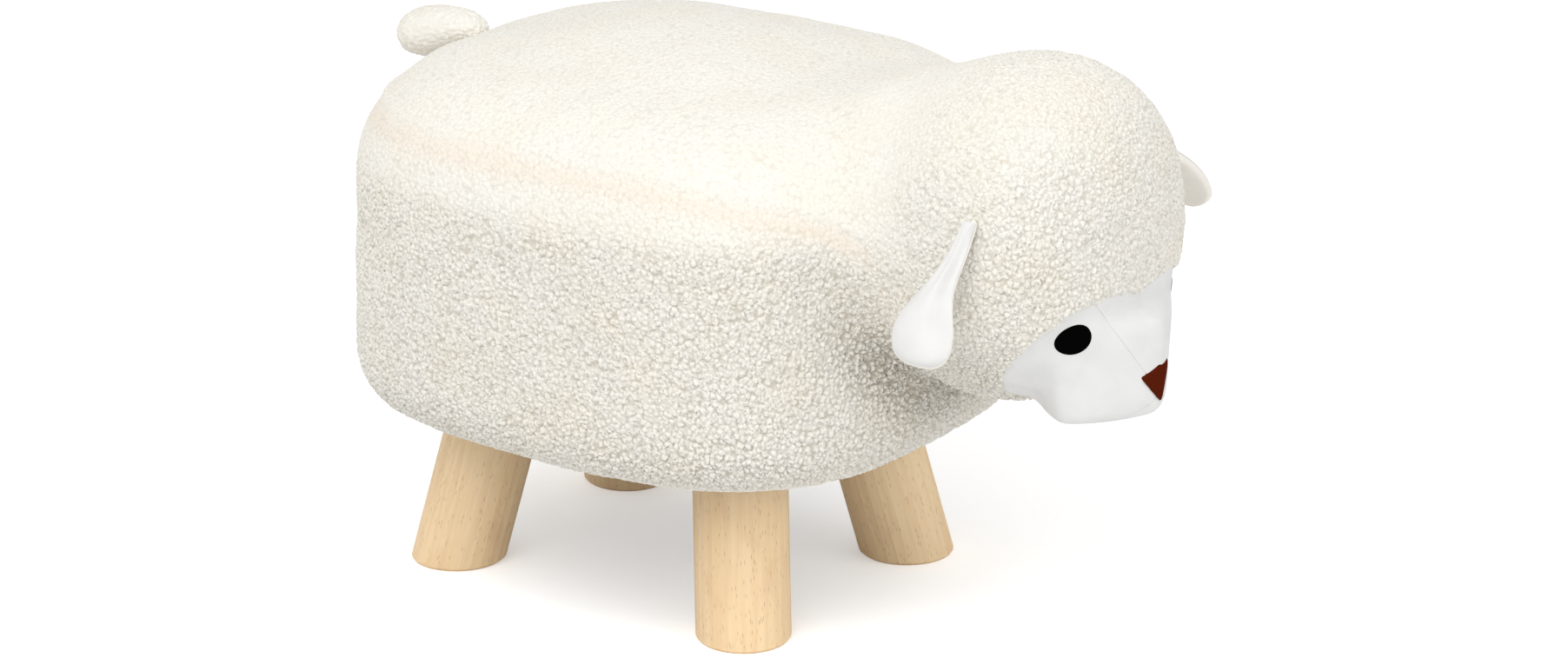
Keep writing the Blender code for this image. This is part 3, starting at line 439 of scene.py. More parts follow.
grid_low = np.array((side_low.x, side_low.y, side_low.z)) - GRID_MARGIN
grid_high = np.array((cad_high.x, side_high.y, cad_high.z)) + GRID_MARGIN
axes = [np.arange(low, high, VOXEL) for low, high in zip(grid_low, grid_high)]
x, y, z = np.meshgrid(*axes, indexing="ij", sparse=True)
field = coat_gap(body_gap(x, y, z), head_gap(x, y, z), z + 0 * x + 0 * y)
print("grid", field.shape)

# %% [markdown]
# A net of quads turns the distances into a mesh. Each small cube that the surface passes through
# gets one point, in the middle of the places where the surface crosses the cube's edges. Wherever
# an edge of the grid is crossed, the four cubes round it give the corners of one quad.

# %% Net of quads
def cross_places(field, axis):
    """For each edge of the grid along an axis: whether the level crosses it, and how far along."""
    first = np.moveaxis(field, axis, 0)
    here, there = first[:-1], first[1:]
    crossed = (here < 0) != (there < 0)
    share = np.where(crossed, here / np.where(crossed, here - there, 1), 0)
    return np.moveaxis(crossed, 0, axis), np.moveaxis(share, 0, axis), np.moveaxis(here < 0, 0, axis)


def net(field, low, step):
    cells = np.array(field.shape) - 1
    total = np.zeros((*cells, 3))
    count = np.zeros(cells)
    edges = []
    for axis in range(3):
        crossed, share, starts_inside = cross_places(field, axis)
        edges.append((crossed, starts_inside))
        others = [other for other in range(3) if other != axis]
        for one in (0, 1):
            for two in (0, 1):
                view = [slice(None)] * 3
                view[others[0]] = slice(one, one + cells[others[0]])
                view[others[1]] = slice(two, two + cells[others[1]])
                hit = crossed[tuple(view)]
                count += hit
                total[..., axis] += share[tuple(view)] * hit
                total[..., others[0]] += one * hit
                total[..., others[1]] += two * hit
    full = count > 0
    number = np.full(cells, -1)
    number[full] = np.arange(full.sum())
    points = low + (np.argwhere(full) + total[full] / count[full][:, None]) * step
    quads = []
    for axis, (crossed, starts_inside) in enumerate(edges):
        after, last = (axis + 1) % 3, (axis + 2) % 3
        spots = np.argwhere(crossed)
        spots = spots[(spots[:, after] > 0) & (spots[:, last] > 0)]
        forward = starts_inside[tuple(spots.T)]
        ring = []
        for one, two in ((1, 1), (0, 1), (0, 0), (1, 0)):
            cell = spots.copy()
            cell[:, after] -= one
            cell[:, last] -= two
            ring.append(number[tuple(cell.T)])
        ring = np.stack(ring, axis=1)
        quads.append(np.where(forward[:, None], ring, ring[:, ::-1]))
    return points, np.concatenate(quads)


net_points, net_quads = net(field, grid_low, VOXEL)
print("net", len(net_points), "points,", len(net_quads), "quads")

# %% [markdown]
# Boucle is a knitted ground covered in small closed curls. From a metre away they read as rounded
# knobs about 3 mm across with dark gaps, so they are real bumps in the mesh, one curl to a cell of
# a Voronoi pattern. The net is split twice, to points less than a millimetre apart, which is
# enough for the knobs. The thread inside each knob is far finer and is left to the material.
# The pattern is warped by noise whose start is drawn by chance, so its seed is set, and every run
# gives the same curls.

# %% Mesh helpers
def add_object(name, mesh):
    made = bpy.data.objects.new(name, mesh)
    bpy.context.collection.objects.link(made)
    return made


def evaluated_mesh(obj):
    """The object's mesh with its modifiers applied, as a new mesh."""
    view = bpy.context.evaluated_depsgraph_get()
    return bpy.data.meshes.new_from_object(obj.evaluated_get(view))


def drop_object(obj):
    mesh = obj.data
    bpy.data.objects.remove(obj)
    bpy.data.meshes.remove(mesh)


def declare(piece, body, slot, *nodes, fill=None):
    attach(piece, body)
    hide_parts(*nodes)
    return piece


def points_of(mesh):
    places = np.empty(len(mesh.vertices) * 3)
    mesh.vertices.foreach_get("co", places)
    return places.reshape(-1, 3)


def normals_of(mesh):
    normals = np.empty(len(mesh.vertices) * 3, np.float32)
    mesh.vertex_normals.foreach_get("vector", normals)
    return normals.reshape(-1, 3).astype(float)


def lofted(name, rings):
    """A mesh through rings of points. A ring of one point is a pole, and open ends get a cap."""
    shape = bmesh.new()
    rows = [[shape.verts.new(point) for point in ring] for ring in rings]
    for low, high in zip(rows, rows[1:]):
        count = max(len(low), len(high))
        for step in range(count):
            after = (step + 1) % count
            if len(low) == 1:
                shape.faces.new((low[0], high[after], high[step]))
            elif len(high) == 1:
                shape.faces.new((low[step], low[after], high[0]))
            else:
                shape.faces.new((low[step], low[after], high[after], high[step]))
    for row in (rows[0], rows[-1]):
        if len(row) > 1:
            shape.faces.new(row)
    bmesh.ops.recalc_face_normals(shape, faces=shape.faces)
    mesh = bpy.data.meshes.new(name)
    shape.to_mesh(mesh)
    shape.free()
    return mesh


print("mesh helpers ready")

# %% Curl helper
NOISE_SEED = 2
CURL_WARP = 0.30
CURL_REACH = 0.80
CURL_GROOVE = 2.5
CURL_FLOOR = 0.4

noise.seed_set(NOISE_SEED)


def curls(places, size, seed=0.0):
    """Height of the pile: 1 on the crown of a curl, 0 deep between curls."""
    heights = np.empty(len(places))
    for index, place in enumerate(places / size + seed):
        spot = Vector(place)
        spot += noise.noise_vector(spot) * CURL_WARP
        near = noise.voronoi(spot)[0]
        round_top = max(1 - (near[0] / CURL_REACH) ** 2, 0) ** 0.5
        heights[index] = round_top * min((near[1] - near[0]) * CURL_GROOVE + CURL_FLOOR, 1)
    return heights


def unevenness(places, size, seed=0.0):
    """Slow ups and downs of the cloth, from about -1 to 1."""
    return np.array([noise.noise(Vector(place)) for place in places / size + seed])


print("one curl in the middle of a cell is", curls(np.zeros((1, 3)), 1.0)[0].round(3))

# %% Fine wool skin
RELAX_SHARE = 0.5
RELAX_ROUNDS = 3
SPLITS = 2

coarse_mesh = bpy.data.meshes.new("coat")
coarse_mesh.from_pydata(net_points, [], net_quads)
coat = add_object("coat", coarse_mesh)
relax = coat.modifiers.new("relax", "SMOOTH")
relax.factor = RELAX_SHARE
relax.iterations = RELAX_ROUNDS
split = coat.modifiers.new("split", "SUBSURF")
split.levels = split.render_levels = SPLITS
fine_mesh = evaluated_mesh(coat)
drop_object(coat)
places = points_of(fine_mesh)
normals = normals_of(fine_mesh)
print("fine skin", len(places), "points")

# %% [markdown]
# The coat isn't the same all over. On the seat, the rim and the back of the neck the pile is short
# and pressed flat. On the sides and the head the curls stand open, they are longest on the lower
# cheeks, and they crowd together deep in the neck folds. A soft welt runs round the rim and dips
# towards the neck, and the band just below it is smooth again. Three numbers go with each point of
# the mesh for the material: a painted light and shade, bright on the crown of a curl, dark between
# curls and darker still deep in the neck folds; how open the pile is there; and how much it takes
# of the band of warmer, darker painted shade below the welt.

# %% Measures of the pile
CURL_SIZE = 0.0027
CURL_HEIGHT = 0.0017
CURL_SINK = 0.55
SEAT_PILE = 0.42
CROWN_PILE = 0.70
FOLD_PILE = 2.0
FINE_PILE_RANGE = (-0.024, -0.007)
CLOTH_WAVE = 0.030
CLOTH_WAVE_HEIGHT = 0.0009
CLUMP = 0.009
CLUMP_HEIGHT = 0.0003
WELT_HEIGHT = 0.0013
WELT_HALF = 0.0026
WELT_ABOVE_RIM = 0.0085
WELT_DIP = 0.027
WELT_DIP_POWER = 3.7
# Where the band of painted shade below the welt lies, and how wide it is.
BAND_BELOW_WELT = 0.008
BAND_HALF = 0.0055
# How much less painted shade between the curls the head takes.
HEAD_SOFTER = 0.3
NECK_BACK_FROM = 0.058
NECK_BACK_TO = 0.020
NECK_FLAT_HEIGHTS = (0.214, 0.238)
NECK_FLATNESS = 0.85
HEM_REACH = 0.055
HEM_PILE = 0.25
JOWL_HEIGHTS = (0.155, 0.196)
JOWL_PILE = 0.50
FACING_UP = (0.2, 0.9)
FACING_DOWN = (0.80, 0.98)
HEAD_TO_BODY = (-0.028, 0.012)
FOLD_WIDTH = (0.004, 0.044)
# How the painted light and shade is spread: how much darker the neck folds are painted, and how deep the painted
# shade between curls may go.
FOLD_SHADE = 0.25
LIT_FROM = 0.60
LIT_LATER_IN_FOLD = 0.15
SHADE_RANGE = (0.15, 1.4)
CLUMP_SEED = 3.0
print("curls", CURL_SIZE, "m across and", CURL_HEIGHT, "m high")

# %% Pile height over the coat
from_head = np.abs(head_gap(*places.T))
from_body = np.abs(body_gap(*places.T))
on_head = from_head < from_body
height = places[:, 2]
facing_up = smooth_step(normals[:, 2], *FACING_UP)
off_head = smooth_step(from_head - from_body, *HEAD_TO_BODY)
ahead = np.clip((places[:, 0] - BODY_X) / HALF_LENGTH, 0, 1)
above_welt = height - RIM_HEIGHT - WELT_ABOVE_RIM + WELT_DIP * ahead ** WELT_DIP_POWER
flat_seat = off_head * smooth_step(above_welt, *FINE_PILE_RANGE)
behind_dome = 1 - smooth_step(places[:, 0], HEAD[0] - NECK_BACK_FROM, HEAD[0] - NECK_BACK_TO)
on_neck = behind_dome * smooth_step(height, *NECK_FLAT_HEIGHTS)
flat_seat = np.maximum(flat_seat, on_neck * NECK_FLATNESS)
hem = 1 - smooth_step(height, UNDERSIDE, UNDERSIDE + HEM_REACH)
fold = 1 - smooth_step(np.maximum(from_body, from_head), *FOLD_WIDTH)
fold *= 1 - smooth_step(height, *FOLD_HEIGHTS)
jowl = (1 - off_head) * (1 - smooth_step(height, *JOWL_HEIGHTS))
underneath = smooth_step(-normals[:, 2], *FACING_DOWN) * (height < UNDERSIDE + BOTTOM_RADIUS)
nap = (1 - (1 - SEAT_PILE) * flat_seat) * (1 - (1 - CROWN_PILE) * facing_up * (1 - off_head))
nap = nap * (1 + (FOLD_PILE - 1) * fold) * (1 + HEM_PILE * hem) * (1 - underneath)
nap = nap * (1 + JOWL_PILE * jowl * (1 - fold))
pile = curls(places, CURL_SIZE)
lift = (pile - CURL_SINK) * CURL_HEIGHT * nap
lift += unevenness(places, CLOTH_WAVE) * CLOTH_WAVE_HEIGHT * (1 - underneath)
lift += unevenness(places, CLUMP, CLUMP_SEED) * CLUMP_HEIGHT * nap
lift += WELT_HEIGHT * np.exp(-(above_welt / WELT_HALF) ** 2) * off_head
# Painted shade: a band just below the welt, where the rim turns away from the light, tinted warmer and darker in
# the material.
band = np.exp(-((above_welt + BAND_BELOW_WELT) / BAND_HALF) ** 2) * off_head
# Painted light and shade: bright on the crown of a curl, dark between curls, darker still deep in the neck folds,
# and softer on the head.
painted_light = np.clip((pile - FOLD_SHADE * fold) / (LIT_FROM + LIT_LATER_IN_FOLD * fold), 0, 1)
softer = HEAD_SOFTER * (1 - off_head) * (1 - fold) * (1 - jowl)
painted_light = 1 - (1 - painted_light) * np.clip(nap * (1 - softer), *SHADE_RANGE)
print("pile from", lift.min().round(5), "to", lift.max().round(5))

# %% [markdown]
# Where the wool meets the face it rolls in and tucks under the edge of the white cloth. The roll
# is a quarter circle, counted from the face's edge, and the curls on it make the ragged border of
# the photograph. Faces that would lie wholly under the face or inside the hem are taken out.

# %% Roll the wool in at the face and lay the curls
FACE_ROLL = 0.0045
TUCK_BELOW = 0.0022
TUCK_SLOPE = 0.4
RAG_SIZE = 0.005
RAG = 0.0012
RAG_SEED = 5.0
WOOL_UNDER_FACE = 0.003

offset = places - HEAD
reach = np.linalg.norm(offset, axis=1)
outward = offset / reach[:, None]
polar, turn = face_angles(outward)
past_edge = (polar - face_edge(turn)) * reach + unevenness(places, RAG_SIZE, RAG_SEED) * RAG
across_roll = np.clip(1 - past_edge / FACE_ROLL, 0, 1)
tucked = on_head & (past_edge < FACE_ROLL)
under_cloth = head_reach(outward[tucked]) + FACE_LIFT - TUCK_BELOW
sink = np.zeros(len(places))
sink[tucked] = (reach[tucked] - under_cloth) * (1 - np.sqrt(1 - across_roll[tucked] ** 2))
sink += np.clip(-past_edge, 0, None) * TUCK_SLOPE * on_head
lift *= np.where(on_head, smooth_step(past_edge, -TUCK_BELOW, 0), 1)
places = places - outward * sink[:, None]
fine_mesh.vertices.foreach_set("co", places.ravel())
fine_mesh.update()
places = places + normals_of(fine_mesh) * lift[:, None]
fine_mesh.vertices.foreach_set("co", places.ravel())
fine_mesh.update()
normals = normals_of(fine_mesh)

quads = np.empty(len(fine_mesh.loops), np.int32)
fine_mesh.loops.foreach_get("vertex_index", quads)
quads = quads.reshape(-1, 4)
hem_inset = BOTTOM_RADIUS + HEM_WIDTH
x = np.abs(places[:, 0] - BODY_X) / (HALF_LENGTH - hem_inset)
y = np.abs(places[:, 1]) / (HALF_WIDTH - hem_inset)
inside_hem = (x ** SQUARENESS + y ** SQUARENESS < 1) & (height < UNDERSIDE + BOTTOM_RADIUS / 2)
under_face = on_head & (past_edge < -WOOL_UNDER_FACE)
hidden = inside_hem | under_face
quads = quads[~hidden[quads].all(axis=1)]
print("quads kept", len(quads))

# %% [markdown]
# ## Wool material
# The colour is a warm off-white with painted shade in it: darker between the curls and between the
# fine rings of thread, darker still deep in the neck folds, and warmer and a little darker in a band
# just below the welt. It also drifts slightly over the coat as undyed fibre does. The bumps add what
# the mesh leaves out: rings of thread a millimetre or two across and the fuzz on them. A weak sheen
# gives the pale bloom that short fibres show where the surface turns away.

# %% Boucle finish
KNOT = 0.0013
KNOT_DEPTH = 0.0006
FUZZ = 0.0006
FUZZ_DEPTH = 0.35 * KNOT_DEPTH
TINT_PATCH = 0.035
GAP_SHADE = 0.36
WOOL_LIGHT = (0.875, 0.850, 0.790)
WOOL_IN_SHADE = (0.66, 0.62, 0.545)
WARM_TINT = (1.0, 0.985, 0.955)
PEACH_TINT = (0.985, 0.935, 0.885)


def boucle(name):
    finish, shader = new_material(name, WOOL_LIGHT, 1.0, Specular_IOR_Level=0.10, Sheen_Weight=0.10,
                                  Sheen_Roughness=0.5)
    place = place_of(finish)
    nap, lit, band = (add_node(finish, "Attribute", attribute_name=key).outputs["Fac"]
                      for key in ("nap", "painted_light", "band"))
    cells = add_node(finish, "TexVoronoi", {"Vector": place, "Scale": 1 / KNOT, "Smoothness": 0.35},
                     feature="SMOOTH_F1")
    squared = maths(finish, "POWER", cells.outputs["Distance"], 2.0)
    crown = maths(finish, "SUBTRACT", 1.0, maths(finish, "MULTIPLY", squared, nap))
    fuzz = mottle(finish, place, 1 / FUZZ, 3.0)
    drift = mottle(finish, place, 1 / TINT_PATCH, 2.0)
    # Painted shade: the colour is mixed toward the shaded wool colour between the fine knots, and it follows the
    # coat's painted light and shade.
    shade = maths(finish, "MULTIPLY", ramp(finish, squared, 0.12, 0.55), GAP_SHADE)
    shade = maths(finish, "MULTIPLY", shade, nap)
    painted_shade_and_gloss = colour_mix(finish, shade, colour_mix(finish, lit, WOOL_IN_SHADE, WOOL_LIGHT), WOOL_IN_SHADE)
    tint = colour_mix(finish, ramp(finish, drift, 0.42, 0.68), (1.0, 1.0, 1.0), WARM_TINT)
    # The band of painted shade below the welt takes the peach tint.
    tint = colour_mix(finish, band, tint, PEACH_TINT)
    feed(finish, shader, "Base Color", colour_mix(finish, 1.0, painted_shade_and_gloss, tint, blend="MULTIPLY"))
    bump(finish, shader, (crown, KNOT_DEPTH, 0.9), (fuzz, FUZZ_DEPTH, 0.5))
    return finish


wool = boucle("cream_boucle")
print("finish", wool.name)

# %% [markdown]
# The real cover is sewn from a side, a seat and a head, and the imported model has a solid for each.
# The coat is cut the same way, and its side once more in two halves, which keeps each piece small
# enough to export whole. Each panel takes over the normals of the uncut skin. Shading follows the
# normals, so the light runs over the cuts without a line, as it does over a seam hidden in pile.

# %% Cut the coat into its panels
def wool_panel(name, chosen, *stands_for):
    used, local = np.unique(quads[chosen], return_inverse=True)
    mesh = bpy.data.meshes.new(name)
    mesh.from_pydata(places[used], [], local.reshape(-1, 4))
    mesh.shade_smooth()
    mesh.normals_split_custom_set_from_vertices(normals[used])
    for key, values in (("painted_light", painted_light), ("nap", nap), ("band", band)):
        mesh.attributes.new(key, "FLOAT", "POINT").data.foreach_set("value", values[used])
    mesh.materials.append(wool)
    declare(add_object(name, mesh), "stool", "boucle", *stands_for, fill=0.9)
    print(name, len(mesh.polygons) * 2, "triangles")


head_faces = on_head[quads].sum(axis=1) > 2
high_faces = height[quads].mean(axis=1) > RIM_HEIGHT
left_faces = places[quads][:, :, 1].mean(axis=1) > 0
wool_panel("wool_side_left", ~head_faces & ~high_faces & left_faces, "cover_side")
wool_panel("wool_side_right", ~head_faces & ~high_faces & ~left_faces, "cover_side")
wool_panel("wool_seat", ~head_faces & high_faces, "cover_top")
wool_panel("wool_head", head_faces, "head_cover")
bpy.data.meshes.remove(fine_mesh)

# %% [markdown]
# ## The white face
# Four pieces of short, smooth plush are sewn together along seams that run out from the nose. Each
# piece is a grid over its part of the head. Along a seam the cloth dips, because the stitches pull
# it in, and towards the wool it runs on under the roll, so that no gap can open there.

# %% Plush finish
PLUSH_NAP = 0.0006
PLUSH_NAP_DEPTH = 0.00025
PLUSH_CLOUD_DEPTH = 0.0006
CLOUDS_PER_METRE = 70.0
PLUSH_DEEPER = 0.955


def plush(name, colour):
    finish, shader = new_material(name, colour, 0.95, Specular_IOR_Level=0.15, Sheen_Weight=0.1,
                                  Sheen_Roughness=0.4)
    place = place_of(finish)
    hairs = mottle(finish, place, 1 / PLUSH_NAP, 4.0)
    clouds = mottle(finish, place, CLOUDS_PER_METRE, 2.0)
    deeper = tuple(channel * PLUSH_DEEPER for channel in colour)
    shaded = colour_mix(finish, ramp(finish, clouds, 0.35, 0.65), deeper, colour)
    feed(finish, shader, "Base Color", shaded)
    bump(finish, shader, (clouds, PLUSH_CLOUD_DEPTH, 0.35), (hairs, PLUSH_NAP_DEPTH, 0.35))
    return finish


face_cloth = plush("face_plush", (0.755, 0.755, 0.745))
ear_cloth = plush("ear_plush", (0.765, 0.76, 0.745))
ear_inside = plush("ear_lining_plush", (0.93, 0.90, 0.84))
print("finishes", face_cloth.name, ear_cloth.name, ear_inside.name)

# %% Face panels
FACE_START = 0.01
PANEL_ROWS = 44
PANEL_COLUMNS = 44
SEAM_ROLL = 0.0014
SEAM_DIP = 0.0004
PANEL_PAST_EDGE = 0.0035
PAST_EDGE_SLOPE = 0.3
CLOTH_THICKNESS = 0.0012
HEAD_RADIUS = 0.06
SECTORS = (("face_forehead", -FOREHEAD_SEAM, FOREHEAD_SEAM),
           ("face_cheek_left", FOREHEAD_SEAM, CHIN_SEAM),
           ("face_chin", CHIN_SEAM, math.tau - CHIN_SEAM),
           ("face_cheek_right", math.tau - CHIN_SEAM, math.tau - FOREHEAD_SEAM))


def grid_mesh(name, grid):
    rows, columns = grid.shape[:2]
    index = np.arange(rows * columns).reshape(rows, columns)
    quads = np.stack([index[:-1, :-1], index[:-1, 1:], index[1:, 1:], index[1:, :-1]], axis=-1)
    mesh = bpy.data.meshes.new(name)
    mesh.from_pydata(grid.reshape(-1, 3), [], quads.reshape(-1, 4))
    mesh.shade_smooth()
    return mesh


def face_panel(node, start, end):
    across = (1 - np.cos(np.linspace(0, math.pi, PANEL_COLUMNS))) / 2
    turn = start + (end - start) * across[None, :].repeat(PANEL_ROWS, axis=0)
    out = np.linspace(FACE_START, 1, PANEL_ROWS)[:, None]
    polar = (face_edge(turn) + PANEL_PAST_EDGE / HEAD_RADIUS) * out
    directions = face_directions(polar, turn)
    reach = head_reach(directions.reshape(-1, 3)).reshape(turn.shape)
    from_seam = np.minimum(turn - start, end - turn) * reach * np.sin(polar)
    in_roll = np.clip(1 - from_seam / SEAM_ROLL, 0, 1)
    past = np.clip((polar - face_edge(turn)) * reach, 0, None)
    lift = FACE_LIFT - SEAM_DIP * (1 - np.sqrt(1 - in_roll ** 2)) - past * PAST_EDGE_SLOPE
    mesh = grid_mesh(node, HEAD + directions * (reach + lift)[..., None])
    mesh.materials.append(face_cloth)
    panel = add_object("plush_" + node, mesh)
    thick = panel.modifiers.new("cloth", "SOLIDIFY")
    thick.thickness = CLOTH_THICKNESS
    thick.offset = -1
    declare(panel, "stool", "face_plush", node)


for node, start, end in SECTORS:
    face_panel(node, start, end)
print("face panels", len(SECTORS))

# %% [markdown]
# ## Eyes and nose
# The eyes are ovals of black satin stitch and the nose is a triangle of dark red-brown felt,
# stitched over in rows. Both lie on the face, so each is a flat outline whose points are thrown
# onto the curved cloth. The rows from the rim to the middle rise like a shallow cushion. The left
# eye, which the photograph doesn't show, sits a little further round than the right one.

# %% Patch helper
PATCH_ROWS = 12
PATCH_SINK = 0.0004
OVAL_STEPS = 56


def face_patch(name, aim_at, outline, thickness, crown_power=4.0):
    sideways = np.cross((0, 0, 1), aim_at)
    sideways /= np.linalg.norm(sideways)
    upward = np.cross(aim_at, sideways)
    reach = float(head_reach(aim_at[None])[0])

    def row(share, lift):
        aims = aim_at * reach + (sideways * outline[:, :1] + upward * outline[:, 1:]) * share
        aims /= np.linalg.norm(aims, axis=1)[:, None]
        return HEAD + aims * (head_reach(aims) + lift)[:, None]

    rings = [row(1.0, FACE_LIFT - PATCH_SINK)]
    for step in range(PATCH_ROWS):
        turn = math.pi / 2 * step / PATCH_ROWS
        share = math.cos(turn)
        rings.append(row(share, FACE_LIFT + thickness * (1 - share ** crown_power) ** 0.5))
    rings.append([HEAD + aim_at * (reach + FACE_LIFT + thickness)])
    mesh = lofted(name, rings)
    mesh.shade_smooth()
    return mesh, sideways, upward


def oval(length, height, tilt, steps=OVAL_STEPS):
    turn = np.linspace(0, math.tau, steps, endpoint=False)
    x, y = np.cos(turn) * length / 2, np.sin(turn) * height / 2
    ahead, aside = math.cos(tilt), math.sin(tilt)
    return np.stack([x * ahead - y * aside, x * aside + y * ahead], axis=1)


print("an eye's outline has", len(oval(1, 1, 0)), "points")

# %% Eyes
EYE_LENGTH = 0.0185
EYE_HEIGHT = 0.0145
EYE_RISE = 0.0008
EYE_ROUND = {"right": math.radians(48.3), "left": math.radians(55)}
EYE_DROP = math.radians(28)
EYE_TILT = math.radians(-3)
STITCH = 0.00045
STITCH_DEPTH = 0.00012
THREAD_FIBRES_PER_METRE = 1800.0
THREAD_BRIGHTER = 1.5


def satin_stitch(name, colour, roughness, along):
    """Threads that lie side by side, each a thin ridge. Along says across which way they step."""
    finish, shader = new_material(name, colour, roughness, Specular_IOR_Level=0.01)
    place = place_of(finish)
    turned = add_node(finish, "VectorMath", {0: place, 1: tuple(along)}, operation="DOT_PRODUCT")
    phase = maths(finish, "MULTIPLY", turned.outputs["Value"], math.tau / STITCH)
    fibres = mottle(finish, place, THREAD_FIBRES_PER_METRE, 3.0)
    brighter = tuple(min(channel * THREAD_BRIGHTER, 1) for channel in colour)
    feed(finish, shader, "Base Color",
         colour_mix(finish, ramp(finish, fibres, 0.35, 0.75), colour, brighter))
    bump(finish, shader, (maths(finish, "SINE", phase), STITCH_DEPTH, 0.6), (fibres, 0.0002, 0.4))
    return finish


for side, hand in ((-1, "right"), (1, "left")):
    ahead, aside = math.cos(EYE_ROUND[hand]), side * math.sin(EYE_ROUND[hand])
    aim_at = np.array((ahead * math.cos(EYE_DROP), aside * math.cos(EYE_DROP), -math.sin(EYE_DROP)))
    tilt = -side * EYE_TILT
    outline = oval(EYE_LENGTH, EYE_HEIGHT, tilt)
    mesh, sideways, upward = face_patch("eye_" + hand, aim_at, outline, EYE_RISE)
    step_way = sideways * math.cos(tilt) + upward * math.sin(tilt)
    mesh.materials.append(satin_stitch("black_thread_" + hand, (0.001, 0.001, 0.001), 0.9, step_way))
    declare(add_object("stitched_eye_" + hand, mesh), "stool", "eye_thread", "eye_" + hand)
print("eyes", EYE_LENGTH, "by", EYE_HEIGHT)

# %% Nose
NOSE_WIDTH = 0.0256
NOSE_HEIGHT = 0.0150
NOSE_RISE = 0.0014
NOSE_TOP = 0.793
NOSE_CORNER = 0.5
NOSE_TILT = math.radians(11)
NOSE_SIDE_STEPS = 14


def nose_outline():
    corner = np.array((NOSE_WIDTH / 2, NOSE_HEIGHT * NOSE_CORNER))
    marks = [corner, np.array((0, NOSE_HEIGHT * NOSE_TOP)), corner * (-1, 1),
             np.array((0, -NOSE_HEIGHT * (1 - NOSE_TOP)))]
    points = [first + (second - first) * step / NOSE_SIDE_STEPS
              for first, second in zip(marks, marks[1:] + marks[:1]) for step in range(NOSE_SIDE_STEPS)]
    points = np.array(points)
    points = (points + np.roll(points, 1, axis=0) + np.roll(points, -1, axis=0)) / 3
    ahead, aside = math.cos(NOSE_TILT), math.sin(NOSE_TILT)
    return points @ np.array(((ahead, aside), (-aside, ahead)))


mesh, sideways, upward = face_patch("nose", NOSE_LINE, nose_outline(), NOSE_RISE, crown_power=6.0)
mesh.materials.append(satin_stitch("brown_thread", (0.078, 0.010, 0.003), 0.9, upward))
declare(add_object("stitched_nose", mesh), "stool", "nose_felt", "nose")
print("nose", NOSE_WIDTH, "by", NOSE_HEIGHT)

# %% [markdown]
# ## Ears
# An ear is two leaves of plush sewn round the edge and turned, gathered to a thin root and rounder
# towards its end. Each leaf is a cage of a dozen rings, and a subdivision surface rounds it. The
# near ear's outer leaf steps down along its front and is creased where the cloth is gathered. The
# ear is built hanging straight down from its hinge and is then swung out by its droop, so that it
# rides on the joint exactly where the model has it.

# %% Ear measures
EAR_LENGTH = 0.0695
EAR_WIDTH = 0.037
EAR_ROOT = 0.0045
EAR_THICKNESS = 0.013
EAR_CUP = 0.005
EAR_EDGE = {"right": 0.0006, "left": 0.0001}
EAR_SEAM = {"right": 0.0003, "left": 0.0}
EAR_REVEAL = 0.0006
EAR_STEP = {"right": 0.0036, "left": 0.0}
EAR_STEP_FROM = 0.30
EAR_STEP_TO = 0.62
EAR_STEP_SHARES = (0.1, 0.5, 0.9, 1.0, 1.0, 0.8, 0.4, 0.1, 0.0)
EAR_CREASE = {"right": 0.0014, "left": 0.0}
EAR_CREASE_AT = -0.15
EAR_CREASE_WIDTH = 0.2
EAR_PLUMP = {"right": {1: 1.0, -1: 0.82}, "left": {1: 0.5, -1: 1.0}}
EAR_DROOPS = {"right": math.radians(25), "left": math.radians(50)}
EAR_LENGTH_SHARES = (0.0, 0.14, 0.32, 0.46, 0.61, 0.74, 0.88, 0.96, 1.0)
EAR_BACK_SHARES = (0.10, 0.15, 0.29, 0.43, 0.63, 0.75, 0.73, 0.60, 0.38)
EAR_FRONT_SHARES = {"right": (0.09, 0.07, 0.03, 0.0, 0.09, 0.19, 0.20, 0.12, -0.06),
                    "left": (0.14, 0.36, 0.40, 0.38, 0.33, 0.25, 0.10, -0.03, -0.18)}
EAR_BULK_SHARES = (0.0, 0.0, 0.2, 0.5, 0.9, 1.0, 0.8, 0.45, 0.1)
EAR_ACROSS_STEPS = 18
KNUCKLE_STEPS = 3


def joint_place(name):
    return Vector(next(joint["pos_m"] for joint in frame["joints"] if joint["name"] == name))


def ear_ring(side, layer, height, back, front, half, bulk, hand, step_share=0.0):
    outer, inner = [], []
    if layer < 0 and bulk > 0:
        back, height = back + EAR_REVEAL, height - EAR_REVEAL
    half *= EAR_PLUMP[hand][layer]
    for step in range(EAR_ACROSS_STEPS + 1):
        across = -1 + 2 * step / EAR_ACROSS_STEPS
        x = -back + (back + front) * (across + 1) / 2
        middle = EAR_CUP * bulk * (1 - across ** 2)
        rise = EAR_EDGE[hand] + (half - EAR_EDGE[hand]) * math.sqrt(max(1 - across ** 2, 0))
        down = min(max((across - EAR_STEP_FROM) / (EAR_STEP_TO - EAR_STEP_FROM), 0), 1)
        if layer > 0:
            crease = math.exp(-((across - EAR_CREASE_AT) / EAR_CREASE_WIDTH) ** 2)
            crease = EAR_CREASE[hand] * (1 - bulk) * crease
            rise = max(rise - (EAR_STEP[hand] * down + crease) * step_share, EAR_EDGE[hand])
        seam = middle + layer * EAR_SEAM[hand] / 2
        outer.append(Vector((x, side * (seam + layer * rise), height)))
        inner.append(Vector((x, side * seam, height)))
    return outer + inner[::-1]


